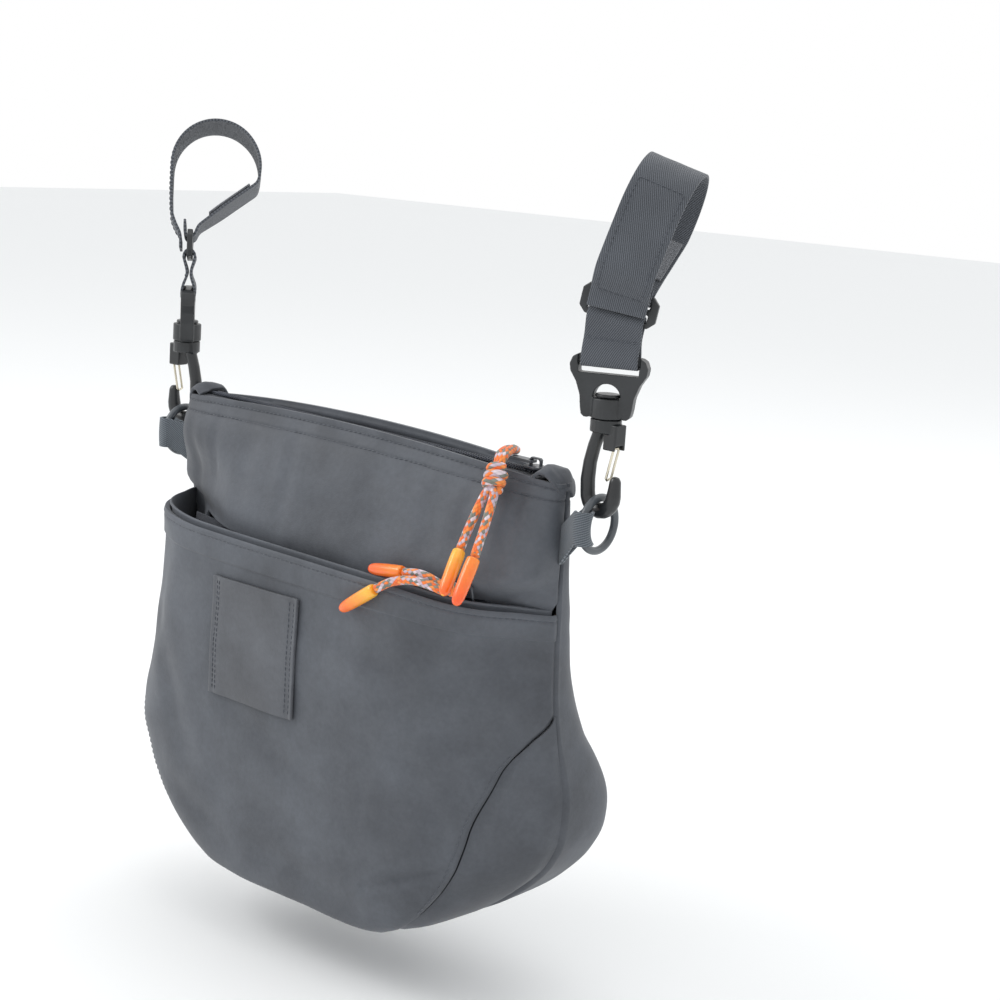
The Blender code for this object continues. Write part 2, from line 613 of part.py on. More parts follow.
def build_pull(node, frame):
    """The pull tab: a flat link whose near end rings the slider's bridge."""
    level = pull_base() + PULL_LIFT
    near = -BRIDGE_HALF + BRIDGE_BAR + GAP + 1.0
    far = near - PULL_LENGTH
    half = PULL_WIDTH / 2
    outline = ((near - 0.8, -half), (near, -half + 0.8), (near, half - 0.8), (near - 0.8, half),
               (far + 1.4, half), (far, half - 1.4), (far, -half + 1.4), (far + 1.4, -half))
    low = [[frame @ Vector((x, y, z)) * MM for x, y in outline] for z in (level, level + PULL_THICK)]
    pull = sections(node, low, "plastic")
    window = near - 1.0 - (BRIDGE_BAR + 2 * GAP + 0.4)
    bridge_hole = block(node + "_bridge_hole", frame, (window, -BRIDGE_WIDE / 2 - GAP, level - 1),
                        (near - 1.0, BRIDGE_WIDE / 2 + GAP, level + PULL_THICK + 1), "plastic")
    eye = rod(node + "_eye", frame @ Matrix.Translation((far + 3.0, 0, 0)), PULL_EYE, level - 1,
              level + PULL_THICK + 1, "plastic", sides=12)
    for tool in (bridge_hole, eye):
        combine(pull, tool, "DIFFERENCE")
    return pull


def build_cover(node, sign, back):
    """The folded leather end that caps the zip, drooping to both sides of the corner."""
    outer, inner = [], []
    start, end = zip_half_length() - COVER_OVERLAP, bag_half(TOP_EDGE)
    for x in spread(start, end, 6):
        share = (x - start) / (end - start)
        crest = ZIP_AT + COIL_HEIGHT + GAP + COVER_THICK - 0.3 - 1.8 * share**2
        row = []
        for across in spread(-1.0, 1.0, 8):
            out = across * COVER_HALF * (1 - 0.35 * share**2)
            row.append((sign * x, back + out, crest - 1.2 * across**2))
        outer.append([on_bag(*p) for p in row])
        inner.append([on_bag(p[0], p[1], p[2] - COVER_THICK) for p in row])
    shell(node, outer, inner, "leather")


def bend_frame(turn):
    """A frame on the pocket zip's bend: X along it, Y up, Z out of the tape."""
    spot = tilted(0, POCKET_TAPE_AT, POCKET_ZIP_AT)
    return (spot @ Matrix.Translation((0, POCKET_ZIP_BEND, 0)) @ Matrix.Rotation(radians(turn), 4, "Z")
            @ Matrix.Translation((0, -POCKET_ZIP_BEND, 0)) @ Matrix.Rotation(pi / 2, 4, "X"))


def bend_turn(inset):
    """The turn on the bend at which a piece ends that far inside the bag's side."""
    return degrees(asin((bag_half(MOUTH) - inset) / POCKET_ZIP_BEND))


def bent_bar(node, turn, half, low, high):
    """A bar of the zip along its bend, between two heights over the tape."""
    corners = ((-half, low), (half, low), (half, high), (-half, high))
    rings = []
    for step in spread(-turn, turn, 16):
        frame = bend_frame(step)
        rings.append([frame @ Vector((0, y, z)) * MM for y, z in corners])
    return sections(node, rings, "zip")


def build_pocket_zip():
    """The zip behind the pocket's mouth. Its coil and tape lie behind the panel's slot."""
    bent_bar("pocket_zip_tape", bend_turn(POCKET_TAPE_INSET), POCKET_TAPE_HALF, -TAPE, 0)
    bent_bar("pocket_zip_coil", bend_turn(POCKET_COIL_INSET), COIL_WIDTH, GAP, GAP + COIL_HEIGHT)
    at = bend_frame(bend_turn(POCKET_SLIDER_INSET))
    roof = 2 * GAP + COIL_HEIGHT
    body = block("pocket_zip_slider", at, (-4.5, -4.0, roof), (4.5, 4.0, roof + PLATE), "plastic")
    inside = COIL_WIDTH + GAP
    for name, low, high in (("wing_low", -3.9, -inside), ("wing_high", inside, 3.9)):
        wing = block("pocket_zip_slider_" + name, at, (-4.3, low, GAP), (4.3, high, roof + 0.4), "plastic")
        combine(body, wing, "UNION")
    face = roof + PLATE + GAP + BAIL_WIRE
    rise = BAIL_TOP - POCKET_ZIP_AT
    half_ring = [(-BAIL_HALF, 0.5, face), (-BAIL_HALF, 4.0, face + 2.6), (-BAIL_HALF, rise - 1.2, BAIL_OUT),
                 (-BAIL_HALF + 1.2, rise, BAIL_OUT)]
    ring = [at @ Vector(p) * MM for p in half_ring + [(-x, y, z) for x, y, z in half_ring[::-1]]]
    tube("pocket_zip_bail", ring, [BAIL_WIRE * MM] * len(ring), "enamel", sides=8, closed=True)


def build_cords():
    tip_shape = ((0.0, 0.82 * TIP_RADIUS), (0.06, TIP_RADIUS), (0.8, 0.92 * TIP_RADIUS),
                 (0.93, 0.75 * TIP_RADIUS), (1.0, 0.4 * TIP_RADIUS))
    knot_shape = ((0.0, 0.6 * KNOT_RADIUS), (0.14, 0.9 * KNOT_RADIUS), (0.5, KNOT_RADIUS),
                  (0.86, 0.9 * KNOT_RADIUS), (1.0, 0.6 * KNOT_RADIUS))
    small = tuple((share, 0.66 * radius) for share, radius in knot_shape)
    cord("main_cord_loop", MAIN_LOOP)
    swollen("main_cord_knot", MAIN_KNOT, knot_shape, "cord")
    cord("pocket_cord_loop", POCKET_LOOP)
    swollen("pocket_cord_knot", POCKET_KNOT, small, "cord")
    for which, strands, tips in (("main", MAIN_STRANDS, MAIN_TIPS), ("pocket", POCKET_STRANDS, POCKET_TIPS)):
        for k, (route, ends) in enumerate(zip(strands, tips), 1):
            cord("%s_cord_strand_%d" % (which, k), route)
            swollen("%s_cord_tip_%d" % (which, k), ends, tip_shape, "tip")


def build_ring_tab(side, sign):
    """Webbing round the ring's near side: a loop that follows the wire, sewn in the side seam."""
    pitch = RING_INNER + RING_WIRE
    ring_x = HOOK_SPAN / 2
    root_x = bag_half(TAB_ROOT_LOW - 2.0) + GAP + 0.1
    seam_y = curve_at(SEAM_BACK, TAB_ROOT_HIGH)
    half = WEB / 2
    loop_half = RING_WIRE + 1.15 + half
    front = -(pitch + RING_WIRE + GAP + half)
    outer, inner = [], []
    steps = 8
    for k in range(steps + 1):
        share = k / steps
        offset = TAB_REACH_UP - (TAB_REACH_UP + TAB_REACH_DOWN) * share
        rear = -sqrt(RING_INNER**2 - offset**2) + GAP + 0.1 + half
        fold_z = -RING_INNER + offset
        root_z = TAB_ROOT_HIGH + (TAB_ROOT_LOW - TAB_ROOT_HIGH) * share - BAG_TILT * sign * root_x
        mid = (front + rear) / 2
        deep = (rear - front) / 2
        neck = seam_y - 1.6
        path = [(root_x, seam_y - 0.15 - half - 0.2), (root_x + 4.5, seam_y - 0.8 - half)]
        oval = [(ring_x - loop_half * cos(radians(a)), mid + deep * sin(radians(a)))
                for a in range(30, 331, 25)]
        path += oval
        path += [(root_x + 4.5, neck - half - 1.9), (root_x, seam_y - 0.15 - half - 0.2 - WEB - GAP)]
        rows = ([], [])
        for i, (x, y) in enumerate(path):
            before, after = path[max(i - 1, 0)], path[min(i + 1, len(path) - 1)]
            along = Vector((after[0] - before[0], after[1] - before[1])).normalized()
            run = min(max((x - root_x) / (ring_x - loop_half - root_x), 0.0), 1.0)
            z = root_z + (fold_z - root_z) * run
            for row, way in zip(rows, (1, -1)):
                row.append(place(sign * (x - way * along.y * half), y + way * along.x * half, z))
        outer.append(rows[0])
        inner.append(rows[1])
    shell("ring_tab_" + side, outer, inner, "webbing")


def build_ring(side, sign):
    pitch = RING_INNER + RING_WIRE
    turns = [2 * pi * k / 40 for k in range(40)]
    path = [place(sign * HOOK_SPAN / 2, pitch * sin(a), -RING_INNER + pitch * cos(a)) for a in turns]
    tube("ring_" + side, path, [RING_WIRE * MM] * 40, "enamel", sides=12, closed=True)


def build_hook(side):
    """Shank, bow and nose in one sweep, with the shoulder, gate block, stem and head joined on."""
    frame = side_frame(side, -HOOK_TURN)
    pitch = EYE_RADIUS + BOW_RADIUS
    rise = pitch - GAP - BOW_RADIUS
    line = [(-1.5, 34.0, SHANK_RADIUS), (-3.4, 30.0, SHANK_RADIUS), (-5.6, 24.0, SHANK_RADIUS),
            (-7.4, 16.5, SHANK_RADIUS + 0.1), (-8.0, 9.0, SHANK_RADIUS + 0.3)]
    for k in range(11):
        a = radians(180 + 18 * k)
        swell = sin(radians(18 * k))
        thick = SHANK_RADIUS + 0.3 + (BOW_RADIUS - SHANK_RADIUS - 0.3) * swell
        line.append((pitch * cos(a), rise + pitch * sin(a), thick))
    line += [(pitch + 0.2, rise + 3.4, NOSE_RADIUS + 0.3), (pitch + 0.3, NOSE_TOP - 2.0, NOSE_RADIUS),
             (pitch + 0.1, NOSE_TOP - 0.5, 0.72 * NOSE_RADIUS), (pitch + 0.1, NOSE_TOP, 0.3 * NOSE_RADIUS)]
    path = [frame @ Vector((x, 0, z)) * MM for x, z, _ in line]
    hook = tube("swivel_hook_" + side, path, [r * MM for _, _, r in line], "plastic", sides=12)
    top = YOKE_LOW - STEM_PLAY
    shoulder = rod("hook_shoulder_" + side, frame, SHOULDER_RADIUS, SHOULDER_LOW, top, "plastic", sides=20)
    jaw = block("hook_block_" + side, frame, (BLOCK_IN, -HOOK_DEPTH / 2, BLOCK_LOW),
                (BLOCK_OUT, HOOK_DEPTH / 2, BLOCK_HIGH), "plastic")
    stem = rod("hook_stem_" + side, frame, STEM_RADIUS, top - 1.0, COLLAR_TOP + GAP + 0.6, "plastic",
               sides=16)
    head = rod("hook_head_" + side, frame, HEAD_RADIUS, COLLAR_TOP + GAP, COLLAR_TOP + GAP + HEAD_HEIGHT,
               "plastic", sides=20)
    for tool in (shoulder, jaw, stem, head):
        combine(hook, tool, "UNION")
    gate_room = GATE_WIDTH / 2 + GATE_WIRE + GAP
    gate_slot = block("hook_gate_slot_" + side, frame,
                      (GATE_TOP_OUT - GATE_WIRE - 1.3, -gate_room, BLOCK_LOW - 1),
                      (BLOCK_OUT + 1, gate_room, BLOCK_LOW + 2.4), "plastic")
    combine(hook, gate_slot, "DIFFERENCE")
    build_gate(side, frame)


def build_gate(side, frame):
    """A sprung wire loop from the block down to the inside of the nose."""
    high = BLOCK_LOW + 1.2
    low = NOSE_TOP - 2.2
    pitch = EYE_RADIUS + BOW_RADIUS
    foot = pitch - NOSE_RADIUS - GAP - GATE_WIRE - 0.4
    half = GATE_WIDTH / 2
    corners = []
    for y in (-half, half):
        corners.append([(GATE_TOP_OUT, y, high), (foot, y, low)])
    loop = []
    for start, end, flip in ((corners[0][0], corners[0][1], False), (corners[1][1], corners[1][0], True)):
        a, b = Vector(start), Vector(end)
        loop += [a.lerp(b, t) for t in (0.06, 0.35, 0.65, 0.94)]
        turn = b + Vector((0, 0.8 if not flip else -0.8, 0))
        loop.append(turn)
    first = Vector(corners[0][0]) + Vector((0, 0.8, 0))
    ring = [frame @ p * MM for p in [first] + loop]
    tube("hook_gate_" + side, ring, [GATE_WIRE * MM] * len(ring), "steel", sides=8, closed=True)


def build_yoke(side):
    frame = side_frame(side, STRAP_TURN[side])
    half = YOKE_WIDTH / 2
    foot = COLLAR_RADIUS + 3.6
    notch = COLLAR_RADIUS - 0.8
    right = [(half - 3.6, YOKE_TOP), (half - 1.2, YOKE_TOP - 1.4), (half, YOKE_TOP - 4.4),
             (half - 0.4, YOKE_TOP - 7.6), (half - 3.2, YOKE_TOP - 12.0), (foot + 1.2, COLLAR_TOP + 0.7),
             (foot + 0.6, YOKE_LOW + 4.0), (foot, YOKE_LOW + 1.2), (foot - 1.4, YOKE_LOW),
             (notch + 1.2, YOKE_LOW), (notch, YOKE_LOW + 1.6), (notch, COLLAR_TOP - 0.9)]
    outline = right + [(-x, z) for x, z in right[::-1]]
    yoke = solid_from_outline("yoke_" + side, outline, frame, YOKE_DEPTH, "plastic")
    window = rod("yoke_window_" + side, frame @ Matrix.Translation((0, 0, COLLAR_TOP + 0.2)), WINDOW_RADIUS,
                 -YOKE_DEPTH, YOKE_DEPTH, "plastic", axis="Y", sides=20)
    reach = STRAP_WIDTH / 2 + SLOT_PLAY
    slot = block("yoke_slot_" + side, frame, (-reach, -YOKE_DEPTH, SLOT_LOW),
                 (reach, YOKE_DEPTH, SLOT_HIGH), "plastic")
    combine(yoke, window, "DIFFERENCE")
    combine(yoke, slot, "DIFFERENCE")
    for name, low, high in (("front", -YOKE_DEPTH, -BAR_DEPTH / 2), ("back", BAR_DEPTH / 2, YOKE_DEPTH)):
        thin = block("yoke_thin_%s_%s" % (name, side), frame, (-reach - 0.5, low, SLOT_HIGH - 1.0),
                     (reach + 0.5, high, YOKE_TOP + 1), "plastic")
        combine(yoke, thin, "DIFFERENCE")
    collar = rod("yoke_collar_" + side, frame, COLLAR_RADIUS, YOKE_LOW, COLLAR_TOP, "plastic", sides=24)
    bore = rod("yoke_bore_" + side, frame, STEM_RADIUS + STEM_PLAY, YOKE_LOW - 1, COLLAR_TOP + 1,
               "plastic", sides=24)
    combine(yoke, collar, "UNION")
    combine(yoke, bore, "DIFFERENCE")


def build_band_slider(side):
    shift, angle = lean_at(SLIDER_HEIGHT_AT)
    frame = side_frame(side, STRAP_TURN[side], angle, SLIDER_HEIGHT_AT, shift)
    half, tall = SLIDER_WIDTH / 2, SLIDER_HEIGHT / 2
    cut = 3.0
    outline = ((half - cut, -tall), (half, -tall + cut), (half, tall - cut), (half - cut, tall),
               (-half + cut, tall), (-half, tall - cut), (-half, -tall + cut), (-half + cut, -tall))
    body = solid_from_outline("band_slider_" + side, outline, frame, SLIDER_BAR + 0.4, "plastic")
    reach = STRAP_WIDTH / 2 + SLOT_PLAY
    opening = (SLIDER_HEIGHT - 3 * SLIDER_BAR) / 2
    for name, low in (("low", -tall + SLIDER_BAR), ("high", SLIDER_BAR / 2)):
        slot = block("slider_slot_%s_%s" % (name, side), frame, (-reach, -4, low),
                     (reach, 4, low + opening), "plastic")
        combine(body, slot, "DIFFERENCE")


def build_straps(side):
    bar = SLIDER_HEIGHT / 2 - SLIDER_BAR / 2
    wrap = sqrt(SLIDER_BAR**2 + (SLIDER_BAR + 0.4)**2) / 2 + GAP + 0.1 + WEB / 2
    top_bar = SLIDER_HEIGHT_AT + bar
    low_bar = SLIDER_HEIGHT_AT - bar
    grip = (GRIP_BACK, HANG_DROP)
    round_grip = GRIP_RADIUS + GAP + WEB / 2
    down = 20.0
    band = [(-wrap, top_bar + 5.0), (-wrap, top_bar + 2.5)]
    band += arc((0, top_bar), wrap, 180, 360, 8)
    foot = (wrap + 0.9, top_bar + 2.4)
    band += [foot]
    band += arc(grip, round_grip, -down, 180, 24)
    band += [(grip[0] - round_grip, 112.0), (grip[0] - round_grip + 0.6, 100.0), (-wrap - WEB - 3.6, 95.0),
             (-wrap - WEB - GAP - 0.4, 90.0), (-wrap - WEB - GAP - 0.2, CLOSURE_LOW)]
    strip("handlebar_band_" + side, side, band, STRAP_WIDTH + 1.0, WEB, "webbing")

    turn = GAP + 0.1 + WEB / 2
    bar_half = BAR_DEPTH / 2 + turn
    under_bar = [(BAR_DEPTH / 2 + turn * cos(radians(a)), SLOT_HIGH - turn * sin(radians(a)))
                 for a in (0, 30, 60, 90)]
    stitch_at = (YOKE_TOP + low_bar) / 2
    tab = [(-wrap, low_bar - 1.0)] + arc((0, low_bar), wrap, 180, 0, 8) + [(wrap, low_bar - 1.0)]
    close = WEB / 2 + GAP
    tab += [(close, stitch_at + 1.0), (close, stitch_at - 1.5), (bar_half, YOKE_TOP + 0.6)] + under_bar
    tab += [(-out, height) for out, height in under_bar[::-1]]
    tab += [(-bar_half, YOKE_TOP + 0.6), (-close, stitch_at - 1.5), (-close, stitch_at + 1.0)]
    strip("hook_webbing_" + side, side, tab, STRAP_WIDTH, WEB, "webbing", closed=True)

    start = Vector(arc(grip, round_grip, -down, 0, 1)[0])
    foot = Vector(foot)
    along = (foot - start).normalized()
    inward = Vector((along.y, -along.x)) * (WEB / 2 + GAP + 0.2 + PAD / 2)
    if (start + inward - Vector(grip)).length > round_grip:
        inward = -inward
    pad = [tuple(start.lerp(foot, t) + inward) for t in (0.1, 0.3, 0.5, 0.7, 0.78)]
    strip("closure_pad_" + side, side, pad, STRAP_WIDTH - 1.0, PAD, "webbing")


def main():
    for obj in list(bpy.data.objects):
        bpy.data.objects.remove(obj, do_unlink=True)
    build_bag()
    build_patch()
    build_main_zip()
    build_pocket_zip()
    build_cords()
    for side, sign in SIDES:
        build_ring(side, sign)
        build_ring_tab(side, sign)
        build_hook(side)
        build_yoke(side)
        build_band_slider(side)
        build_straps(side)


main()
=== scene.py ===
from math import asin, atan2, cos, exp, pi, radians, sin, sqrt, tan

import bmesh
import bpy
from mathutils import Matrix, Vector, noise
from mathutils.bvhtree import BVHTree


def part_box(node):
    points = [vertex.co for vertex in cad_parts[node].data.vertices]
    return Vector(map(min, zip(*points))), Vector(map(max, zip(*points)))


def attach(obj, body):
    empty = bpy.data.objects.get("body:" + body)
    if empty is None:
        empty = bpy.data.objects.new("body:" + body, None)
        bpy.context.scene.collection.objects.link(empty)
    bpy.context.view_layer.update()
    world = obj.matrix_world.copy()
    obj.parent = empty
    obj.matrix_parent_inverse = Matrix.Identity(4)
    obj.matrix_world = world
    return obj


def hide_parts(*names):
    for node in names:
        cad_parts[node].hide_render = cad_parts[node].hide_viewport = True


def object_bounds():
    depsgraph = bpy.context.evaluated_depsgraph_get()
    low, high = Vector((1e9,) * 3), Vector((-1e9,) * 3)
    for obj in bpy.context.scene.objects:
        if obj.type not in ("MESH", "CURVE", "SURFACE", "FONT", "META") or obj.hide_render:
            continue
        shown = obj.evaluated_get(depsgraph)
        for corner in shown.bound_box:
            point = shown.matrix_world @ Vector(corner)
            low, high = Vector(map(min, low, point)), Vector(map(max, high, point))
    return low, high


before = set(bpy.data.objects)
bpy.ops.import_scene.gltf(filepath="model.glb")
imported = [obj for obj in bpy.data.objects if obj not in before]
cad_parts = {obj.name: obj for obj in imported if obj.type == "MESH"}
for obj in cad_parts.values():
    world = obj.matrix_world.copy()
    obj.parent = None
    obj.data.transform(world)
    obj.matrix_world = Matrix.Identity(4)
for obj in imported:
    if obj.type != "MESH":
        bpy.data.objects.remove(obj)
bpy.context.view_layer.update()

mm = 0.001
sides = {"right": 1, "left": -1}


# The camera looks a little down on the bag from its right
cameraSet = {
    "place": (0.6278, -0.6637, 0.0371), "lens": 69.48, "sensor": 36.0,
    "azimuth": 39.5, "elevation": 11.2, "roll": 3.8,
}


def makeCamera():
    bpy.ops.object.camera_add(location=cameraSet["place"])
    camera = bpy.context.active_object
    around, down, roll = (radians(cameraSet[key]) for key in ("azimuth", "elevation", "roll"))
    ahead = Vector((-sin(around) * cos(down), cos(around) * cos(down), -sin(down)))
    level = Vector((cos(around), sin(around), 0))
    upright = level.cross(ahead)
    right = level * cos(roll) + upright * sin(roll)
    up = upright * cos(roll) - level * sin(roll)
    turned = Matrix((right, up, -ahead)).transposed().to_4x4()
    camera.matrix_world = Matrix.Translation(cameraSet["place"]) @ turned
    camera.data.lens = cameraSet["lens"]
    camera.data.sensor_width = cameraSet["sensor"]
    camera.data.clip_start = 0.01
    bpy.context.scene.camera = camera


makeCamera()


# Places: lengths in mm over the ring contact, as in the part's own source
bag = {
    "hangDrop": 124.0, "tilt": 0.025, "hookSpan": 274.0, "sideInside": 14.5,
    "topEdge": 15.0, "topArch": 6.0, "archFade": 35.0, "seamGap": 0.15, "leather": 2.0,
    "mouth": -45.0, "gussetTop": -97.0, "linerInset": 3.7, "linerInsetFrom": -44.0, "linerInsetFull": -52.0,
    "floorInset": 2.0, "floorInsetFrom": -182.0, "floorInsetFade": 12.0, "linerLift": 5.6,
    "floorTaper": 0.12, "seamSlack": 0.24, "slotTop": -46.5, "slotBottom": -58.0, "slotInset": 26.0,
    "seamPull": 16.0, "seamPullLeft": 5.0,
}
bulge = ((15, 0), (0, 0), (-45, 0.5), (-80, 1.5), (-110, 4.5), (-140, 8.5), (-155, 7.5), (-170, 1.5),
         (-184, -10.5), (-197, -26.5), (-207, -42.5), (-215, -56.5))
seamBack = ((15, -5), (-95, -5), (-140, 0), (-215, 0))
frontDepth = ((15, 12), (0, 19), (-20, 26.5), (-45, 33), (-60, 33), (-100, 30), (-150, 29), (-180, 27),
              (-215, 20))
frontCorner = ((15, 3.5), (-20, 4), (-45, 6), (-215, 6))
frontCutWide = ((-20, 0), (-45, 0.92), (-126, 0.872), (-157, 0.828), (-190, 0.725), (-215, 0.62))
frontCutDeep = ((-20, 0), (-45, 0.36), (-126, 0.55), (-157, 0.56), (-190, 0.50), (-215, 0.42))
backDepth = ((15, 12), (-20, 19), (-45, 25), (-80, 33), (-100, 38), (-150, 48), (-165, 47), (-185, 42),
             (-215, 32))
backCorner = ((15, 3), (-60, 3.2), (-110, 4), (-150, 7), (-215, 6))
pocketDepth = ((-45, 45), (-95, 46), (-140, 51), (-190, 52), (-215, 50))
pocketCorner = ((-45, 8), (-215, 8))
leftCut = ((-45, 0.9), (-80, 0.84), (-100, 0.82), (-150, 0.8), (-170, 0.84), (-190, 0.88), (-215, 0.95))
gussetAngle = ((-95, 0), (-110, 12), (-126, 26), (-157, 38), (-190, 40), (-215, 40))
floorHeights = ((0, -206.0), (-1, -210.5), (-2, -213.0), (-3, -214.4), (-4, -215.0), (-5, -215.2),
                (-6, -215.3))
floorSqueeze = ((0, 1.0), (-1, 0.99), (-2, 0.95), (-3, 0.8), (-4, 0.5), (-5, 0.2), (-6, 0.004))


def placeAt(x, y, z):
    return Vector((x, y, z - bag["hangDrop"])) * mm


def onBag(x, y, z):
    return placeAt(x, y, z - bag["tilt"] * x)


def tilted(x, y, z):
    place = Matrix.Rotation(atan2(bag["tilt"], 1), 4, "Y")
    place.translation = Vector((x, y, z - bag["tilt"] * x - bag["hangDrop"]))
    return place


def curveAt(table, z):  # smooth value between the rows of a table that runs downwards
    if z >= table[0][0]:
        return table[0][1]
    if z <= table[-1][0]:
        return table[-1][1]
    last = len(table) - 1
    i = next(k for k in range(last) if table[k + 1][0] <= z)
    (z0, v0), (z1, v1) = table[i], table[i + 1]

    def slope(k):
        if k in (0, last):
            return 0.0
        before = (table[k][1] - table[k - 1][1]) / (table[k][0] - table[k - 1][0])
        after = (table[k + 1][1] - table[k][1]) / (table[k + 1][0] - table[k][0])
        return 2 * before * after / (before + after) if before * after > 0 else 0.0

    span = z1 - z0
    t = (z - z0) / span
    return ((2 * t**3 - 3 * t**2 + 1) * v0 + (t**3 - 2 * t**2 + t) * span * slope(i)
            + (3 * t**2 - 2 * t**3) * v1 + (t**3 - t**2) * span * slope(i + 1))


def clamp(value, low=0.0, high=1.0):
    return min(max(value, low), high)


def ease(value, low, high):
    t = clamp((value - low) / (high - low))
    return t * t * (3 - 2 * t)


def bagHalf(z):
    return bag["hookSpan"] / 2 - bag["sideInside"] + curveAt(bulge, z)


def linerInset(z):
    behindMouth = 1 - ease(z, bag["linerInsetFull"], bag["linerInsetFrom"])
    nearFloor = clamp((bag["floorInsetFrom"] - z) / bag["floorInsetFade"])
    return bag["linerInset"] * behindMouth + bag["floorInset"] * nearFloor


def cutAt(z, left=False):  # share of the sloped corner in width and depth, and how much of it is at the left
    return curveAt(frontCutWide, z), curveAt(frontCutDeep, z), curveAt(leftCut, z) if left else 1.0


walls = {
    "back": {"toward": 1, "depth": backDepth, "corner": backCorner, "cut": lambda z: (0, 0, 1), "inset": 0},
    "front": {"toward": -1, "depth": frontDepth, "corner": frontCorner, "cut": cutAt, "inset": 1},
    "pocket": {"toward": -1, "depth": pocketDepth, "corner": pocketCorner,
               "cut": lambda z: cutAt(z, True), "inset": 0},
}


leftTuck = {"share": 0.65, "x": (50, 118), "start": (0, 30), "end": (43, 56)}  # above the mouth at the left


def wallPoint(wall, angle, z, squeeze=1.0, inward=0.0):
    make = walls[wall]
    deep = (curveAt(make["depth"], z) - inward) * squeeze
    wide = (bagHalf(z) - make["inset"] * linerInset(z) - inward) * (1 - bag["floorTaper"] * (1 - squeeze))
    corner = curveAt(make["corner"], z)
    cut = make["cut"](z)
    c, s = abs(cos(angle)), abs(sin(angle))
    sloped = (cut[0] * c + cut[1] * s) * (cut[2] if cos(angle) < 0 else 1.0)
    reach = (c**corner + s**corner + sloped**corner) ** (-1 / corner)
    x, y = wide * reach * cos(angle), deep * reach * sin(angle)
    atSeam = (1 + cut[0]**corner * (cut[2] if x < 0 else 1.0)**corner) ** (1 / corner)
    pull = bag["seamPull"] if x > 0 or wall == "pocket" else bag["seamPullLeft"]
    x *= 1 + (atSeam - 1) * (1 - ease(y, 0.0, pull)) * squeeze
    if wall == "front":
        y *= 1 - leftTuck["share"] * ease(-x, *leftTuck["x"]) * ease(-z, *leftTuck["start"]) * (
            1 - ease(-z, *leftTuck["end"]))
    arch = bag["topArch"] * (x / bagHalf(bag["topEdge"])) ** 2
    fade = clamp((z - bag["topEdge"] + bag["archFade"]) / bag["archFade"])
    return onBag(x, curveAt(seamBack, z) + make["toward"] * (y + bag["seamGap"]), z - arch * fade)


# Finishes
def paint(red, green, blue):  # screen colour, 0 to 255, to the shader's own
    return tuple(((c / 255 + 0.055) / 1.055) ** 2.4 for c in (red, green, blue)) + (1.0,)


def newFinish(name, roughness, metallic=0.0, **sockets):
    finish = bpy.data.materials.new(name)
    finish.use_nodes = True
    tree = finish.node_tree
    shader = tree.nodes["Principled BSDF"]
    shader.inputs["Roughness"].default_value = roughness
    shader.inputs["Metallic"].default_value = metallic
    for key, value in sockets.items():
        shader.inputs[key.replace("_", " ")].default_value = value
    return finish, tree, shader


def addNode(tree, kind, values=None, **settings):
    node = tree.nodes.new("ShaderNode" + kind)
    for key, value in settings.items():
        setattr(node, key, value)
    for key, value in (values or {}).items():
        node.inputs[key].default_value = value
    return node


def wire(tree, source, output, target, socket):
    tree.links.new(source.outputs[output], target.inputs[socket])


def mapped(tree, kind="Object", scale=(1, 1, 1), turn=0.0):
    spot = addNode(tree, "TexCoord")
    turner = addNode(tree, "Mapping", {"Scale": scale, "Rotation": (0, 0, radians(turn))})
    wire(tree, spot, kind, turner, "Vector")
    return turner


def grain(tree, place, scale, detail=3.0, roughness=0.5):
    node = addNode(tree, "TexNoise", {"Scale": scale, "Detail": detail, "Roughness": roughness})
    wire(tree, place, "Vector", node, "Vector")
    return node


def ramp(tree, source, output, stops, step=False):
    node = addNode(tree, "ValToRGB")
    node.color_ramp.interpolation = "CONSTANT" if step else "LINEAR"
    while len(node.color_ramp.elements) < len(stops):
        node.color_ramp.elements.new(0.5)
    for element, (position, color) in zip(node.color_ramp.elements, stops):
        element.position = position
        element.color = color
    wire(tree, source, output, node, "Fac")
    return node


def multiplied(tree, first, second, amount=1.0):
    node = addNode(tree, "MixRGB", {"Fac": amount}, blend_type="MULTIPLY")
    wire(tree, first, "Color", node, "Color1")
    wire(tree, second, "Color", node, "Color2")
    return node


def relief(tree, shader, heights):  # heights are (node, output, strength, distance)
    last = None
    for source, output, strength, distance in heights:
        bump = addNode(tree, "Bump", {"Strength": strength, "Distance": distance})
        wire(tree, source, output, bump, "Height")
        if last:
            wire(tree, last, "Normal", bump, "Normal")
        last = bump
    wire(tree, last, "Normal", shader, "Normal")


def greyStops(low, high):
    return ((0.25, (low, low, low, 1)), (0.75, (high, high, high, 1)))


def makeLeather(name, dark, light, roughness=0.66):
    finish, tree, shader = newFinish(name, roughness, Sheen_Weight=0.12, Sheen_Roughness=0.5)
    place = mapped(tree)
    broad = ramp(tree, grain(tree, place, 20, 5, 0.6), "Fac", ((0.34, paint(*dark)), (0.66, paint(*light))))
    speckle = grain(tree, place, 420, 2, 0.6)
    mottled = multiplied(tree, broad, ramp(tree, speckle, "Fac", greyStops(0.9, 1.06)))
    wire(tree, mottled, "Color", shader, "Base Color")
    shine = ramp(tree, grain(tree, place, 60, 2), "Fac", greyStops(roughness - 0.06, roughness + 0.08))
    wire(tree, shine, "Color", shader, "Roughness")
    pebble = addNode(tree, "TexVoronoi", {"Scale": 1150, "Randomness": 1.0})
    wire(tree, place, "Vector", pebble, "Vector")
    relief(tree, shader, ((pebble, "Distance", 0.22, 0.0002),
                          (grain(tree, place, 240, 3), "Fac", 0.16, 0.0006)))
    return finish


bandLength = 0.314  # metres from band to band of a wave texture at scale 1
pickPitch = 0.62    # the cross threads' pitch over the twill's


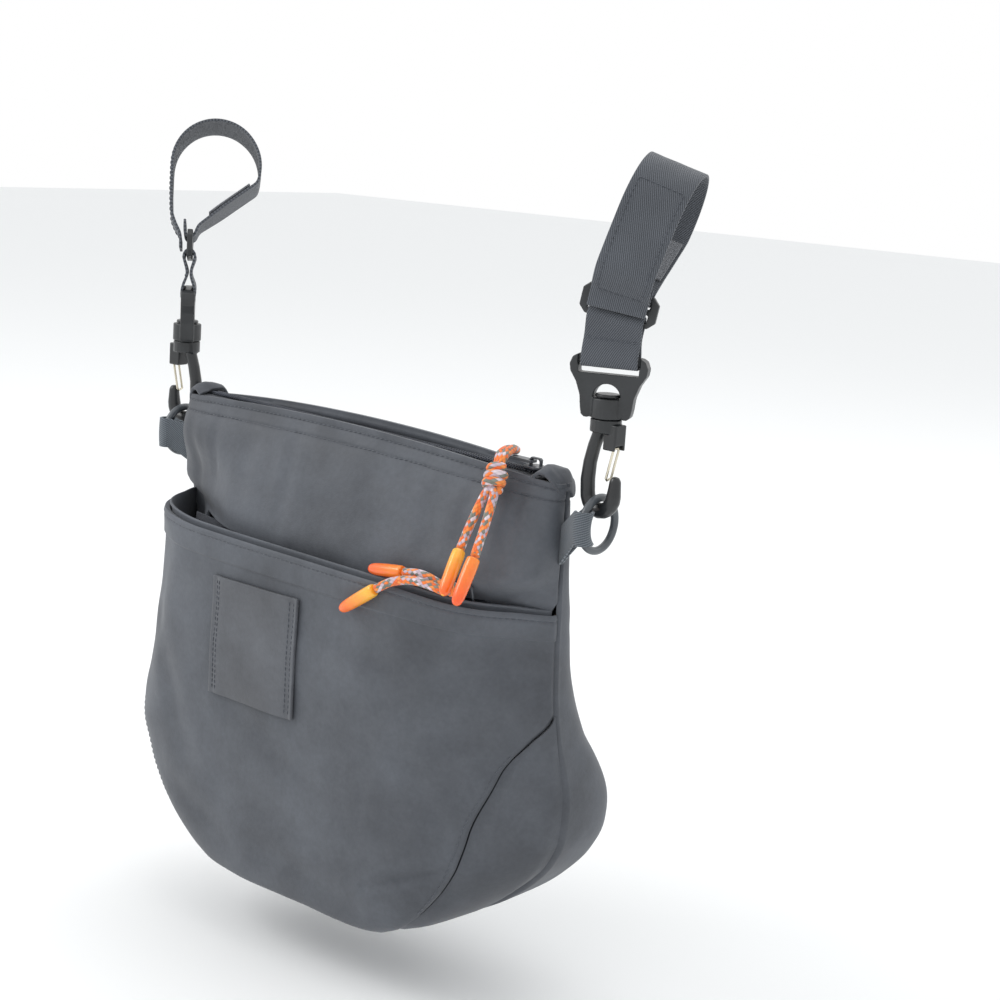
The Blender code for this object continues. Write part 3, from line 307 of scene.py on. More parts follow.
def makeWebbing(name, dark, light, pitch=0.85, turn=30.0, roughness=0.82):
    finish, tree, shader = newFinish(name, roughness, Sheen_Weight=0.25, Sheen_Roughness=0.4)
    twill = addNode(tree, "TexWave", {"Scale": bandLength / (pitch * mm), "Distortion": 0.6, "Detail": 1.0,
                                      "Detail Scale": 1.5}, bands_direction="X")
    wire(tree, mapped(tree, "UV", turn=turn), "Vector", twill, "Vector")
    picks = addNode(tree, "TexWave", {"Scale": bandLength / (pickPitch * pitch * mm), "Distortion": 0.4},
                    bands_direction="Y")
    wire(tree, mapped(tree, "UV"), "Vector", picks, "Vector")
    tone = ramp(tree, twill, "Fac", ((0.1, paint(*dark)), (0.8, paint(*light))))
    yarns = multiplied(tree, tone, ramp(tree, picks, "Fac", greyStops(0.82, 1.05)), 0.8)
    fade = ramp(tree, grain(tree, mapped(tree), 45, 3), "Fac", greyStops(0.86, 1.1))
    wire(tree, multiplied(tree, yarns, fade), "Color", shader, "Base Color")
    fluff = grain(tree, mapped(tree), 2600, 2)
    relief(tree, shader, ((twill, "Fac", 0.55, 0.00035), (picks, "Fac", 0.35, 0.0002),
                          (fluff, "Fac", 0.2, 0.0001)))
    return finish


def makeMoulded(name, color, roughness, specks=0.10, metallic=0.0, **sockets):
    finish, tree, shader = newFinish(name, roughness, metallic, **sockets)
    place = mapped(tree)
    dark, light = (paint(*(part * share for part in color)) for share in (1 - specks, 1 + specks))
    tone = ramp(tree, grain(tree, place, 90, 4), "Fac", ((0.3, dark), (0.7, light)))
    wire(tree, tone, "Color", shader, "Base Color")
    shine = ramp(tree, grain(tree, place, 260, 3), "Fac", greyStops(roughness * 0.82, roughness * 1.2))
    wire(tree, shine, "Color", shader, "Roughness")
    relief(tree, shader, ((grain(tree, place, 1900, 2), "Fac", 0.10, 0.0001),
                          (grain(tree, place, 160, 2), "Fac", 0.10, 0.0003)))
    return finish


braid = {
    "wide": 0.0013, "long": 0.0019, "turn": 45,  # one yarn's cell, in metres and degrees
    "yarns": ((0.0, (244, 124, 48)), (0.2, (196, 178, 190)), (0.36, (236, 108, 46)), (0.5, (132, 134, 124)),
              (0.64, (222, 206, 212)), (0.76, (244, 146, 72)), (0.88, (120, 122, 112))),
}


def makeCordFinish():
    finish, tree, shader = newFinish("braidedCord", 0.72, Sheen_Weight=0.2)
    place = mapped(tree, "UV", (1 / braid["wide"], 1 / braid["long"], 1), braid["turn"])
    cells = addNode(tree, "TexVoronoi", {"Scale": 1.0, "Randomness": 0.35}, voronoi_dimensions="2D")
    wire(tree, place, "Vector", cells, "Vector")
    pick = addNode(tree, "SeparateColor")
    wire(tree, cells, "Color", pick, "Color")
    yarns = ramp(tree, pick, "Red", [(at, paint(*color)) for at, color in braid["yarns"]], True)
    # painted shade: each yarn darkens towards the gaps between yarns, and its crown is lifted a little as
    # painted highlight
    yarnGapShade = ramp(tree, cells, "Distance", ((0.2, (1.06, 1.06, 1.06, 1)), (0.75, (0.72, 0.72, 0.72, 1))))
    wire(tree, multiplied(tree, yarns, yarnGapShade), "Color", shader, "Base Color")
    inverted = ramp(tree, cells, "Distance", ((0.0, (1, 1, 1, 1)), (0.8, (0, 0, 0, 1))))
    relief(tree, shader, ((inverted, "Color", 0.7, 0.0003),
                          (grain(tree, mapped(tree), 3200, 2), "Fac", 0.15, 0.0001)))
    return finish


tipLength = 0.024


def makeTip(name, top, low):  # the colour runs from the cord's end to the tip's
    finish, tree, shader = newFinish(name, 0.24, Subsurface_Weight=0.3, Subsurface_Scale=0.003,
                                     Coat_Weight=0.35)
    spot = addNode(tree, "TexCoord")
    split = addNode(tree, "SeparateXYZ")
    wire(tree, spot, "UV", split, "Vector")
    share = addNode(tree, "Math", {1: 1 / tipLength}, operation="MULTIPLY")
    wire(tree, split, "Y", share, 0)
    tone = ramp(tree, share, 0, ((0.1, paint(*top)), (0.85, paint(*low))))
    cloud = ramp(tree, grain(tree, mapped(tree), 300, 2), "Fac", greyStops(0.93, 1.05))
    wire(tree, multiplied(tree, tone, cloud), "Color", shader, "Base Color")
    relief(tree, shader, ((grain(tree, mapped(tree), 500, 2), "Fac", 0.08, 0.0002),))
    return finish


def makeFuzzy():
    finish, tree, shader = newFinish("loopPile", 0.95, Sheen_Weight=0.5, Sheen_Roughness=0.6)
    place = mapped(tree)
    tone = ramp(tree, grain(tree, place, 900, 4, 0.8), "Fac",
                ((0.3, paint(70, 73, 80)), (0.7, paint(126, 129, 136))))
    wire(tree, tone, "Color", shader, "Base Color")
    relief(tree, shader, ((grain(tree, place, 1300, 5, 0.8), "Fac", 1.0, 0.0012),))
    return finish


finishes = {
    "leather": makeLeather("greyNubuck", (66, 69, 75), (86, 90, 97)),
    "patch": makeLeather("patchNubuck", (72, 74, 79), (88, 91, 97), 0.6),
    "webbing": makeWebbing("strapWebbing", (60, 63, 68), (98, 102, 109)),
    "tab": makeWebbing("tabWebbing", (72, 78, 84), (112, 119, 126), 1.15, 30.0),
    "fuzzy": makeFuzzy(),
    "plastic": makeMoulded("blackNylon", (40, 42, 44), 0.42, 0.12, Coat_Weight=0.06),
    "hookPlastic": makeMoulded("hookNylon", (34, 36, 38), 0.34, 0.12, Coat_Weight=0.1),
    "enamel": makeMoulded("greyEnamel", (74, 79, 84), 0.38, 0.08, Coat_Weight=0.3),
    "steel": makeMoulded("gateWire", (205, 198, 180), 0.24, 0.06, 1.0),
    "coil": makeMoulded("zipCoil", (62, 66, 76), 0.4, 0.1),
    "tape": makeWebbing("zipTape", (52, 56, 64), (76, 80, 90), 0.6, 0.0),
    "zipMetal": makeMoulded("zipEnamel", (62, 66, 72), 0.35, 0.1, Coat_Weight=0.2),
    "cord": makeCordFinish(),
    "tip": makeTip("orangeTip", (250, 138, 44), (246, 96, 36)),
    "paleTip": makeTip("amberTip", (252, 184, 62), (248, 112, 36)),
    "thread": makeMoulded("sewingThread", (70, 74, 82), 0.7, 0.1, Sheen_Weight=0.3),
}
print("finishes done")


# Making
def nothingSelected():
    bpy.ops.object.select_all(action="DESELECT")


def onlySelected(piece):
    nothingSelected()
    piece.select_set(True)
    bpy.context.view_layer.objects.active = piece


def newPiece(name, data):
    piece = bpy.data.objects.new(name, data)
    bpy.context.scene.collection.objects.link(piece)
    return piece


def ready(piece, finish, body, slot, *nodes):
    piece.data.materials.clear()
    piece.data.materials.append(finishes[finish])
    if nodes:
        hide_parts(*nodes)
    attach(piece, body)
    return piece


def applyStep(piece, kind, **settings):
    step = piece.modifiers.new(kind.lower(), kind)
    for key, value in settings.items():
        setattr(step, key, value)
    bpy.context.view_layer.objects.active = piece
    bpy.ops.object.modifier_apply(modifier=step.name)


def thicken(piece, thick, edge, corner=50, offset=-1.0):  # in mm, with its edges rounded
    applyStep(piece, "SOLIDIFY", thickness=thick * mm, offset=offset)
    applyStep(piece, "BEVEL", width=edge * mm, segments=2, limit_method="ANGLE", angle_limit=radians(corner))
    piece.data.shade_smooth()


def gridPiece(name, columns, rows, spot, texture=None):
    nothingSelected()
    bpy.ops.mesh.primitive_grid_add(x_subdivisions=columns, y_subdivisions=rows, size=1.0)
    piece = bpy.context.active_object
    piece.name = piece.data.name = name
    cells = [(round((v.co.x + 0.5) * columns), round((0.5 - v.co.y) * rows)) for v in piece.data.vertices]
    for vertex, cell in zip(piece.data.vertices, cells):
        vertex.co = spot(*cell)
    if texture:
        layer = piece.data.uv_layers[0]
        for loop in piece.data.loops:
            layer.data[loop.index].uv = texture(*cells[loop.vertex_index])
    piece.data.update()
    return piece, cells


def faceOutward(piece, centre):  # open sheets: the outer face looks away from the centre
    faces = piece.data.polygons
    if sum(face.normal.dot(face.center - centre(face.center)) * face.area for face in faces) < 0:
        piece.data.flip_normals()


def mergeClose(piece, distance=0.00002):
    bm = bmesh.new()
    bm.from_mesh(piece.data)
    bmesh.ops.remove_doubles(bm, verts=bm.verts, dist=distance)
    bm.to_mesh(piece.data)
    bm.free()


def pushAlongNormals(piece, cells, amount):
    normals = [v.normal.copy() for v in piece.data.vertices]
    for vertex, normal, cell in zip(piece.data.vertices, normals, cells):
        vertex.co += normal * amount(vertex.co, *cell) * mm
    piece.data.update()


def skinOf(piece):
    return BVHTree.FromPolygons([v.co.copy() for v in piece.data.vertices],
                                [list(face.vertices) for face in piece.data.polygons])


def distances(points):  # along a line of points, from its first
    reach = [0.0]
    for p, q in zip(points, points[1:]):
        reach.append(reach[-1] + (q - p).length)
    return reach


def smoothRoute(points, spacing):  # even spots on a smooth curve through the points
    pts = [2 * points[0] - points[1]] + points + [2 * points[-1] - points[-2]]
    dense = []
    for i in range(1, len(pts) - 2):
        a, b, c, d = pts[i - 1:i + 3]
        for k in range(16):
            t = k / 16
            dense.append(0.5 * (2 * b + (c - a) * t + (2 * a - 5 * b + 4 * c - d) * t**2
                                + (3 * b - a - 3 * c + d) * t**3))
    dense.append(pts[-2])
    reach = distances(dense)
    count = max(2, round(reach[-1] / spacing))
    spots, j = [], 0
    for k in range(count + 1):
        want = reach[-1] * k / count
        while j < len(dense) - 2 and reach[j + 1] < want:
            j += 1
        share = (want - reach[j]) / max(reach[j + 1] - reach[j], 1e-12)
        spots.append(dense[j].lerp(dense[j + 1], min(share, 1.0)))
    return spots


def tubePiece(name, points, radii, sideCount=14):  # UV: round and along, in metres
    bm = bmesh.new()
    layer = bm.loops.layers.uv.new("UVMap")
    last = len(points) - 1
    loops, along, side = [], distances(points), None
    for k, point in enumerate(points):
        ahead = (points[min(k + 1, last)] - points[max(k - 1, 0)]).normalized()
        if side is None:
            side = ahead.orthogonal().normalized()
        side = (side - ahead * side.dot(ahead)).normalized()
        up = ahead.cross(side)
        turns = [2 * pi * s / sideCount for s in range(sideCount)]
        loops.append([bm.verts.new(point + (side * cos(a) + up * sin(a)) * radii[k]) for a in turns])
    girth = 2 * pi * max(radii)
    for k in range(last):
        for s in range(sideCount):
            n = (s + 1) % sideCount
            face = bm.faces.new((loops[k][s], loops[k][n], loops[k + 1][n], loops[k + 1][s]))
            corners = ((s, along[k]), (s + 1, along[k]), (s + 1, along[k + 1]), (s, along[k + 1]))
            for loop, (turn, length) in zip(face.loops, corners):
                loop[layer].uv = (girth * turn / sideCount, length)
    bm.faces.new(loops[0][::-1])
    bm.faces.new(loops[-1])
    bmesh.ops.recalc_face_normals(bm, faces=bm.faces)
    mesh = bpy.data.meshes.new(name)
    bm.to_mesh(mesh)
    bm.free()
    mesh.shade_smooth()
    return newPiece(name, mesh)


# Cords: doubled through the pull, knotted, each end in a moulded tip. Points as in the part's source
cords = {
    "radius": 2.05, "knotCord": 2.0, "spacing": 1.0, "perTurn": 20, "knotInset": 0.9, "knotSwell": 0.14,
    "loopLean": (0.15, 0.8, 1.0, 0.9, 0.6), "loopLift": 0.25, "insideKnot": (0.35, 0.75),
    "tipFinish": ("paleTip", "tip"),
    "main": {
        "body": "main_pull", "turns": 3.0, "knotRadius": 3.5, "spread": 1.7,
        "loop": ((91.9, -5.0, 18.4), (92.6, -9.5, 19.3), (94.0, -14.3, 19.0), (95.4, -18.0, 18.2),
                 (96.65, -21.05, 16.15)),
        "knot": ((97.0, -21.9, 15.0), (98.6, -28.4, 2.6)),
        "strands": (((96.2, -29.0, 2.0), (95.4, -36.0, -9.6), (97.0, -44.4, -20.4)),
                    ((100.9, -29.0, 2.0), (104.6, -38.0, -9.4), (109.2, -48.9, -20.4))),
        "tips": (((97.1, -45.2, -21.3), (102.0, -60.2, -38.0)),
                 ((109.5, -49.8, -21.3), (111.0, -62.0, -40.0))),
    },
    "pocket": {
        "body": "pocket_slider", "turns": 1.6, "knotRadius": 1.5, "spread": 0.5,
        "loop": ((92.6, -35.7, -41.3), (92.8, -36.8, -41.0), (92.6, -37.9, -40.8)),
        "knot": ((92.4, -39.2, -40.6), (89.6, -43.4, -40.4)),
        "strands": (((90.7, -46.0, -40.8), (86.0, -48.6, -39.4), (76.0, -50.4, -38.8), (65.0, -51.6, -41.6),
                     (57.0, -53.7, -46.4)),
                    ((86.0, -43.0, -39.6), (80.0, -44.6, -37.4), (74.0, -45.2, -36.8), (66.0, -45.4, -38.0))),
        "tips": (((56.2, -53.9, -47.0), (36.0, -54.0, -61.0)),
                 ((65.1, -45.5, -38.2), (44.0, -45.0, -41.2))),
    },
}
# tips: share of the length and radius
tipShape = ((0.0, 2.5), (0.015, 2.85), (0.05, 3.1), (0.3, 3.15), (0.6, 3.05), (0.8, 2.85), (0.91, 2.45),
            (0.97, 1.7), (0.995, 0.7))


def makeKnot(which):  # the cord's turns round itself
    make = cords[which]
    start, end = (onBag(*p) for p in make["knot"])
    axis = (end - start).normalized()
    wide = axis.cross(Vector((0, 1, 0))).normalized()
    out = axis.cross(wide)
    thick = cords["knotCord"] * mm
    inset = thick * cords["knotInset"]
    length = (end - start).length - 2 * inset
    steps = int(make["turns"] * cords["perTurn"])
    helix = []
    for k in range(steps + 1):
        turn = 2 * pi * make["turns"] * k / steps
        swell = make["knotRadius"] * mm * (1 - cords["knotSwell"] * (1 - sin(pi * k / steps)))
        across = (wide * cos(turn) + out * sin(turn)) * swell
        helix.append(start + axis * (inset + length * k / steps) + across)
    knot = tubePiece(which + "KnotWraps", helix, [thick] * len(helix), 12)
    return ready(knot, "cord", make["body"], "cord", which + "_cord_knot")


def makeCords(which):
    make = cords[which]
    knot = makeKnot(which)
    radius = cords["radius"] * mm
    for k, (strand, ends) in enumerate(zip(make["strands"], make["tips"]), 1):
        lean = make["spread"] * (1 if k == 2 else -1)
        loop = [(x + lean * share, y, z + cords["loopLift"] * lean * share)
                for (x, y, z), share in zip(make["loop"], cords["loopLean"])]
        core = [Vector(make["knot"][0]).lerp(Vector(make["knot"][1]), t) for t in cords["insideKnot"]]
        spots = smoothRoute([onBag(*p) for p in loop + core + list(strand)], cords["spacing"] * mm)
        piece = tubePiece("%sCord%d" % (which, k), spots, [radius] * len(spots))
        replaced = ["%s_cord_strand_%d" % (which, k)] + ([which + "_cord_loop"] if k == 1 else [])
        ready(piece, "cord", make["body"], "cord", *replaced)
        start, end = (onBag(*p) for p in ends)
        path = [start.lerp(end, share) for share, _ in tipShape]
        tip = tubePiece("%sTip%d" % (which, k), path, [r * mm for _, r in tipShape], 20)
        applyStep(tip, "SUBSURF", levels=1, render_levels=1)
        ready(tip, cords["tipFinish"][k - 1], make["body"], "tip", "%s_cord_tip_%d" % (which, k))
        tuple(spots[0])
        distances(spots)[-1]
        [tuple(p) for p in spots]


makeCords("main")
makeCords("pocket")
print("cords done")


# Bag panels
panelSet = {
    "columns": 132, "rowStep": 2.4, "floorFrom": -206, "floorRows": 24, "across": 250,
    "seamValley": 1.9, "seamWidth": 3.4, "calmWidth": 9.0, "calmTop": (2, 16), "calmest": 0.35,
    "grooveDepth": 0.6, "grooveWidth": 1.1, "topSeams": (3.2, 9.0),  # seams below the top edge
    "folds": ((21, 1.1), (58, 0.35)), "foldShare": 0.7,              # density and height
    "hemSeam": 3.0, "hemStep": 0.9, "hemHeight": 13.5, "hemFade": 1.2,
    "edge": 0.45, "edgeAngle": 60, "pocketThick": 2.6,
}
# creases: from and to in x and z of the bag, half width, depth
frontCreases = (
    ((84, 10), (80, -30), 3.4, 0.9), ((108, 10), (104, -38), 3.0, 1.0), ((-108, -4), (-104, -38), 4.0, 0.9),
    ((-88, 12), (-84, -34), 3.2, 0.9), ((-30, 8), (-24, -38), 4.0, 1.0),
    ((-60, -6), (-52, -42), 6.0, 0.8), ((62, -12), (74, -44), 7.0, 1.4),
    ((100, -34), (118, -30), 6.0, 1.0), ((20, -30), (34, -44), 6.0, 0.7),
)
pocketCreases = (
    ((-96, -60), (-112, -128), 7.0, 1.1), ((-40, -128), (10, -146), 9.0, 0.8),
    ((40, -70), (66, -96), 9.0, 1.0), ((70, -120), (92, -160), 6.0, 1.0),
    ((-90, -176), (-30, -196), 7.0, 0.9), ((-20, -190), (50, -200), 6.0, 0.8),
    ((56, -189), (96, -171), 2.6, 1.7), ((-100, -100), (-70, -160), 8.0, 0.9),
)
backCreases = (
    ((118, -60), (124, -110), 6.0, 1.0), ((-118, -60), (-124, -110), 6.0, 1.0),
    ((88, -180), (112, -160), 2.6, 2.0), ((-88, -180), (-112, -160), 2.6, 2.0),
    ((0, -60), (20, -120), 14.0, 1.6), ((-70, -70), (-50, -130), 12.0, 1.4),
    ((70, -80), (62, -150), 12.0, 1.4), ((-30, -150), (40, -160), 10.0, 1.2),
)


def bagHeight(co):
    return co.z / mm + bag["hangDrop"] + bag["tilt"] * co.x / mm


def creasesAt(co, creases):
    here = Vector((co.x / mm, bagHeight(co)))
    total = 0.0
    for start, end, width, depth in creases:
        a, b = Vector(start), Vector(end)
        along = b - a
        t = clamp((here - a).dot(along) / along.length_squared)
        gap = (here - a.lerp(b, t)).length / width
        strength = 0.35 + 0.65 * sin(pi * clamp(t, 0.08, 0.92))  # weaker at its ends
        ridge = 0.45 * exp(-(gap - 1.6) ** 2)
        total += depth * strength * (ridge - exp(-gap * gap))
    return total


def softFolds(co):
    return sum(height * noise.noise(co * density) for density, height in panelSet["folds"])


def bagAxis(co):
    return Vector((0, -0.003, co.z))


def levelsFrom(top, marks, lift=0.0):  # rows down the wall, closer at each mark, then over the floor
    drop = top - panelSet["floorFrom"]
    count = int(drop / panelSet["rowStep"])
    levels = {round(top - drop * k / count, 3) for k in range(count)}
    width = panelSet["grooveWidth"]
    for mark in marks:
        levels = {z for z in levels if abs(z - mark) > width or z == top}
        levels |= {mark + width * k / 2 for k in (-2, -1, 0, 1, 2) if mark + width * k / 2 <= top}
    rows = [(z, 1.0) for z in sorted(levels, reverse=True)]
    for k in range(panelSet["floorRows"] + 1):
        t = floorHeights[-1][0] * k / panelSet["floorRows"]
        rows.append((curveAt(floorHeights, t) + lift, curveAt(floorSqueeze, t)))
    return rows


def grooves(z, marks):
    gap = min(abs(z - mark) for mark in marks)
    return -panelSet["grooveDepth"] * exp(-(gap / (0.55 * panelSet["grooveWidth"])) ** 2)


def offFloor(squeeze):  # 1 on the walls, 0 at the middle of the floor
    return ease(squeeze, 0.1, 0.9)


def makePanel(name, wall, rows, angles, creases, marks, extra=None):
    columns = panelSet["columns"]

    def spot(column, row):
        z, squeeze = rows[row]
        low, high = angles(z)
        return wallPoint(wall, low + (high - low) * column / columns, z, squeeze)

    piece, cells = gridPiece(name, columns, len(rows) - 1, spot)
    faceOutward(piece, bagAxis)

    def amount(co, column, row):
        z, squeeze = rows[row]
        fromSeam = min(column, columns - column) / columns * panelSet["across"]
        belowTop = ease(rows[0][0] - z, *panelSet["calmTop"])
        loose = ease(fromSeam, 0.0, panelSet["calmWidth"]) * offFloor(squeeze)
        loose *= panelSet["calmest"] + (1 - panelSet["calmest"]) * belowTop
        atSeam = 1 - ease(fromSeam, 0.0, panelSet["seamWidth"])
        valley = -panelSet["seamValley"] * atSeam * offFloor(squeeze)
        push = loose * (panelSet["foldShare"] * softFolds(co) + creasesAt(co, creases))
        return push + valley + grooves(z, marks) + (extra(z) if extra else 0.0)

    pushAlongNormals(piece, cells, amount)
    return piece


def closePanel(piece, thick=bag["leather"]):
    thicken(piece, thick, panelSet["edge"], panelSet["edgeAngle"])


def wholeTurn(z):
    return 0.0, pi


topMarks = tuple(bag["topEdge"] - down for down in panelSet["topSeams"])

backRows = levelsFrom(bag["topEdge"], topMarks)
backPiece = makePanel("backPanel", "back", backRows, wholeTurn, backCreases, topMarks)
backSkin = skinOf(backPiece)
closePanel(backPiece)
ready(backPiece, "leather", "bag", "leather", "back_panel")
print("back panel done")

slotMarks = (bag["slotTop"], bag["slotBottom"])
frontRows = levelsFrom(bag["topEdge"], topMarks + slotMarks, bag["linerLift"])
frontPiece = makePanel("frontPanel", "front", frontRows, wholeTurn, frontCreases, topMarks)
frontSkin = skinOf(frontPiece)


def openSlot(piece):  # where the pocket's zip goes through, hidden below the mouth
    reach = (bagHalf(bag["slotTop"]) - bag["slotInset"]) * mm
    bm = bmesh.new()
    bm.from_mesh(piece.data)
    gone = []
    for face in bm.faces:
        centre = face.calc_center_median()
        if bag["slotBottom"] < bagHeight(centre) < bag["slotTop"] and abs(centre.x) < reach:
            gone.append(face)
    bmesh.ops.delete(bm, geom=gone, context="FACES")
    bm.to_mesh(piece.data)
    bm.free()


openSlot(frontPiece)
closePanel(frontPiece)
ready(frontPiece, "leather", "bag", "leather", "front_panel")
print("front panel done")


def seamEdge(z):
    return radians(curveAt(gussetAngle, z))


def pocketAngles(z):
    edge = seamEdge(z) + (radians(bag["seamSlack"]) if z < bag["gussetTop"] + 1 else 0.0)
    return edge, pi - edge


hemMark = bag["mouth"] - panelSet["hemSeam"]


def hemRise(z):  # the folded hem stands a little proud and ends in a soft step
    below, hem = bag["mouth"] - z, panelSet["hemHeight"]
    return panelSet["hemStep"] * (1 - ease(below, hem - panelSet["hemFade"], hem)) * ease(below, 0.0, 1.0)


mouthLine = {"dip": 5.5, "dipAt": (60, 122), "rise": 3.0, "riseAt": (70, 122), "from": -88.0}


def mouthDrop(point):  # the mouth dips where it meets the right seam and rises at the left
    x = point.x / mm
    dip = mouthLine["dip"] * ease(x, *mouthLine["dipAt"])
    return dip - mouthLine["rise"] * ease(-x, *mouthLine["riseAt"])


def bendMouth(piece):
    for vertex in piece.data.vertices:
        fade = ease(bagHeight(vertex.co), mouthLine["from"], bag["mouth"])
        vertex.co.z -= fade * mouthDrop(vertex.co) * mm
    piece.data.update()


pocketRows = levelsFrom(bag["mouth"], (hemMark, bag["mouth"] - panelSet["hemHeight"]))
pocketPiece = makePanel("pocketPanel", "pocket", pocketRows, pocketAngles, pocketCreases, (hemMark,), hemRise)
bendMouth(pocketPiece)
pocketSkin = skinOf(pocketPiece)
closePanel(pocketPiece, panelSet["pocketThick"])
ready(pocketPiece, "leather", "bag", "leather", "pocket_panel")
print("pocket panel done")


innerHem = {"behind": 2.75, "from": -1.9, "to": 12.5, "thick": 1.3, "fromEdge": 1.2, "rows": 12,
            "columns": 120}


def makeInnerHem():  # the folded edge inside the mouth
    low, high = radians(innerHem["fromEdge"]), pi - radians(innerHem["fromEdge"])

    def spot(column, row):
        down = innerHem["from"] + (innerHem["to"] - innerHem["from"]) * row / innerHem["rows"]
        return wallPoint("pocket", low + (high - low) * column / innerHem["columns"], bag["mouth"] - down,
                         1.0, innerHem["behind"])

    piece, _ = gridPiece("pocketInnerHem", innerHem["columns"], innerHem["rows"], spot)
    faceOutward(piece, bagAxis)
    bendMouth(piece)
    closePanel(piece, innerHem["thick"])
    return ready(piece, "leather", "bag", "leather")


makeInnerHem()


gussetSet = {"columns": 22, "leastAngle": 0.5, "widens": (4.0, 30.0), "seamShare": 0.22, "foldFrom": 0.4,
             "foldShare": 0.5, "thick": 1.8}


def makeGusset(side, sign):
    columns = gussetSet["columns"]
    rows = levelsFrom(bag["gussetTop"], ())

    def spot(column, row):
        z, squeeze = rows[row]
        edge = max(seamEdge(z) - radians(bag["seamSlack"]), radians(gussetSet["leastAngle"]))
        angle = edge * column / columns
        return wallPoint("pocket", angle if sign > 0 else pi - angle, z, squeeze)

    piece, cells = gridPiece("gusset_" + side, columns, len(rows) - 1, spot)
    faceOutward(piece, bagAxis)

    def amount(co, column, row):
        z, squeeze = rows[row]
        share = min(column, columns - column) / columns
        wide = ease(bag["gussetTop"] - z, *gussetSet["widens"])
        atSeam = 1 - ease(share, 0.0, gussetSet["seamShare"])
        valley = -panelSet["seamValley"] * atSeam * offFloor(squeeze)
        fold = gussetSet["foldShare"] * ease(share, 0.0, gussetSet["foldFrom"]) * softFolds(co)
        return wide * (valley + fold)

    pushAlongNormals(piece, cells, amount)
    closePanel(piece, gussetSet["thick"])
    return ready(piece, "leather", "bag", "leather", "pocket_gusset_" + side)


for side, sign in sides.items():
    makeGusset(side, sign)
print("gussets done")


# Stitching: short raised threads along a route laid on a panel
threads = {  # pitch, share of the pitch above the surface, radius, body, slot
    "panel": (2.9, 0.68, 0.24, "bag", "leather"),
    "patch": (2.6, 0.68, 0.24, "bag", "leather"),
    "strap": (2.7, 0.7, 0.22, "straps", "webbing"),
    "strapEnd": (2.5, 0.7, 0.22, "straps", "webbing"),
}
stitchRise = ((0.0, -0.12), (0.25, 0.16), (0.75, 0.16), (1.0, -0.12))


def stitches(name, spots, kind="panel"):
    pitch, share, radius, body, slot = threads[kind]
    data = bpy.data.curves.new(name, "CURVE")
    data.dimensions = "3D"
    data.bevel_depth = radius * mm
    data.bevel_resolution = 1
    data.use_fill_caps = True
    reach = distances([place for place, _ in spots])

    def at(distance, lift):
        j = next((k for k in range(1, len(reach)) if reach[k] >= distance), len(reach) - 1)
        t = (distance - reach[j - 1]) / max(reach[j] - reach[j - 1], 1e-9)
        point = spots[j - 1][0].lerp(spots[j][0], min(t, 1.0))
        normal = spots[j - 1][1].lerp(spots[j][1], min(t, 1.0))
        return point + normal.normalized() * lift * mm

    count = int(reach[-1] / (pitch * mm))
    for k in range(count):
        start = (k + 0.5 * (1 - share)) * pitch * mm
        end = start + share * pitch * mm
        line = data.splines.new("POLY")
        line.points.add(3)
        for point, (t, lift) in zip(line.points, stitchRise):
            point.co = (*at(start + (end - start) * t, lift), 1.0)
    piece = newPiece(name, data)
    onlySelected(piece)
    bpy.ops.object.convert(target="MESH")
    piece = bpy.context.active_object
    piece.data.shade_smooth()
    return ready(piece, "thread", body, slot)


def laid(skin, points):
    return [skin.find_nearest(point)[:2] for point in points]


# rows from seam to seam, angles in radians; the gusset's row is beside its seam, from its top down
stitchRows = {"steps": 90, "topInset": 0.06, "hemInset": 0.03, "gussetFrom": -116, "gussetDrop": 82,
              "gussetSteps": 59, "besideSeam": radians(2.6)}


def across(wall, z, inset, drop=None):
    spots = []
    for k in range(stitchRows["steps"] + 1):
        point = wallPoint(wall, inset + (pi - 2 * inset) * k / stitchRows["steps"], z)
        if drop:
            point.z -= drop(point) * mm
        spots.append(point)
    return spots


for number, mark in enumerate(topMarks, 1):
    for wall, skin in (("front", frontSkin), ("back", backSkin)):
        stitches("%sTopStitch%d" % (wall, number), laid(skin, across(wall, mark, stitchRows["topInset"])))
stitches("hemStitch", laid(pocketSkin, across("pocket", hemMark, stitchRows["hemInset"], mouthDrop)))
for side, sign in sides.items():
    seam = []
    for k in range(stitchRows["gussetSteps"] + 1):
        z = stitchRows["gussetFrom"] - stitchRows["gussetDrop"] * k / stitchRows["gussetSteps"]
        edge = seamEdge(z) + stitchRows["besideSeam"]
        seam.append(wallPoint("pocket", edge if sign > 0 else pi - edge, z))
    stitches("gussetStitch_" + side, laid(pocketSkin, seam))
print("panel stitching done")


# The sewn-on square, bare, with two sewn edges and one edge lifting
patchSet = {"standsOff": 1.75, "cells": 44, "sewnIn": 2.6, "puff": 0.35, "puffWidth": 5, "groove": 0.35,
            "grooveWidth": 0.8, "lift": 0.7, "liftFrom": 0.965, "ripple": 0.16, "thick": 1.5, "edge": 0.35,
            "secondRow": 2.0}


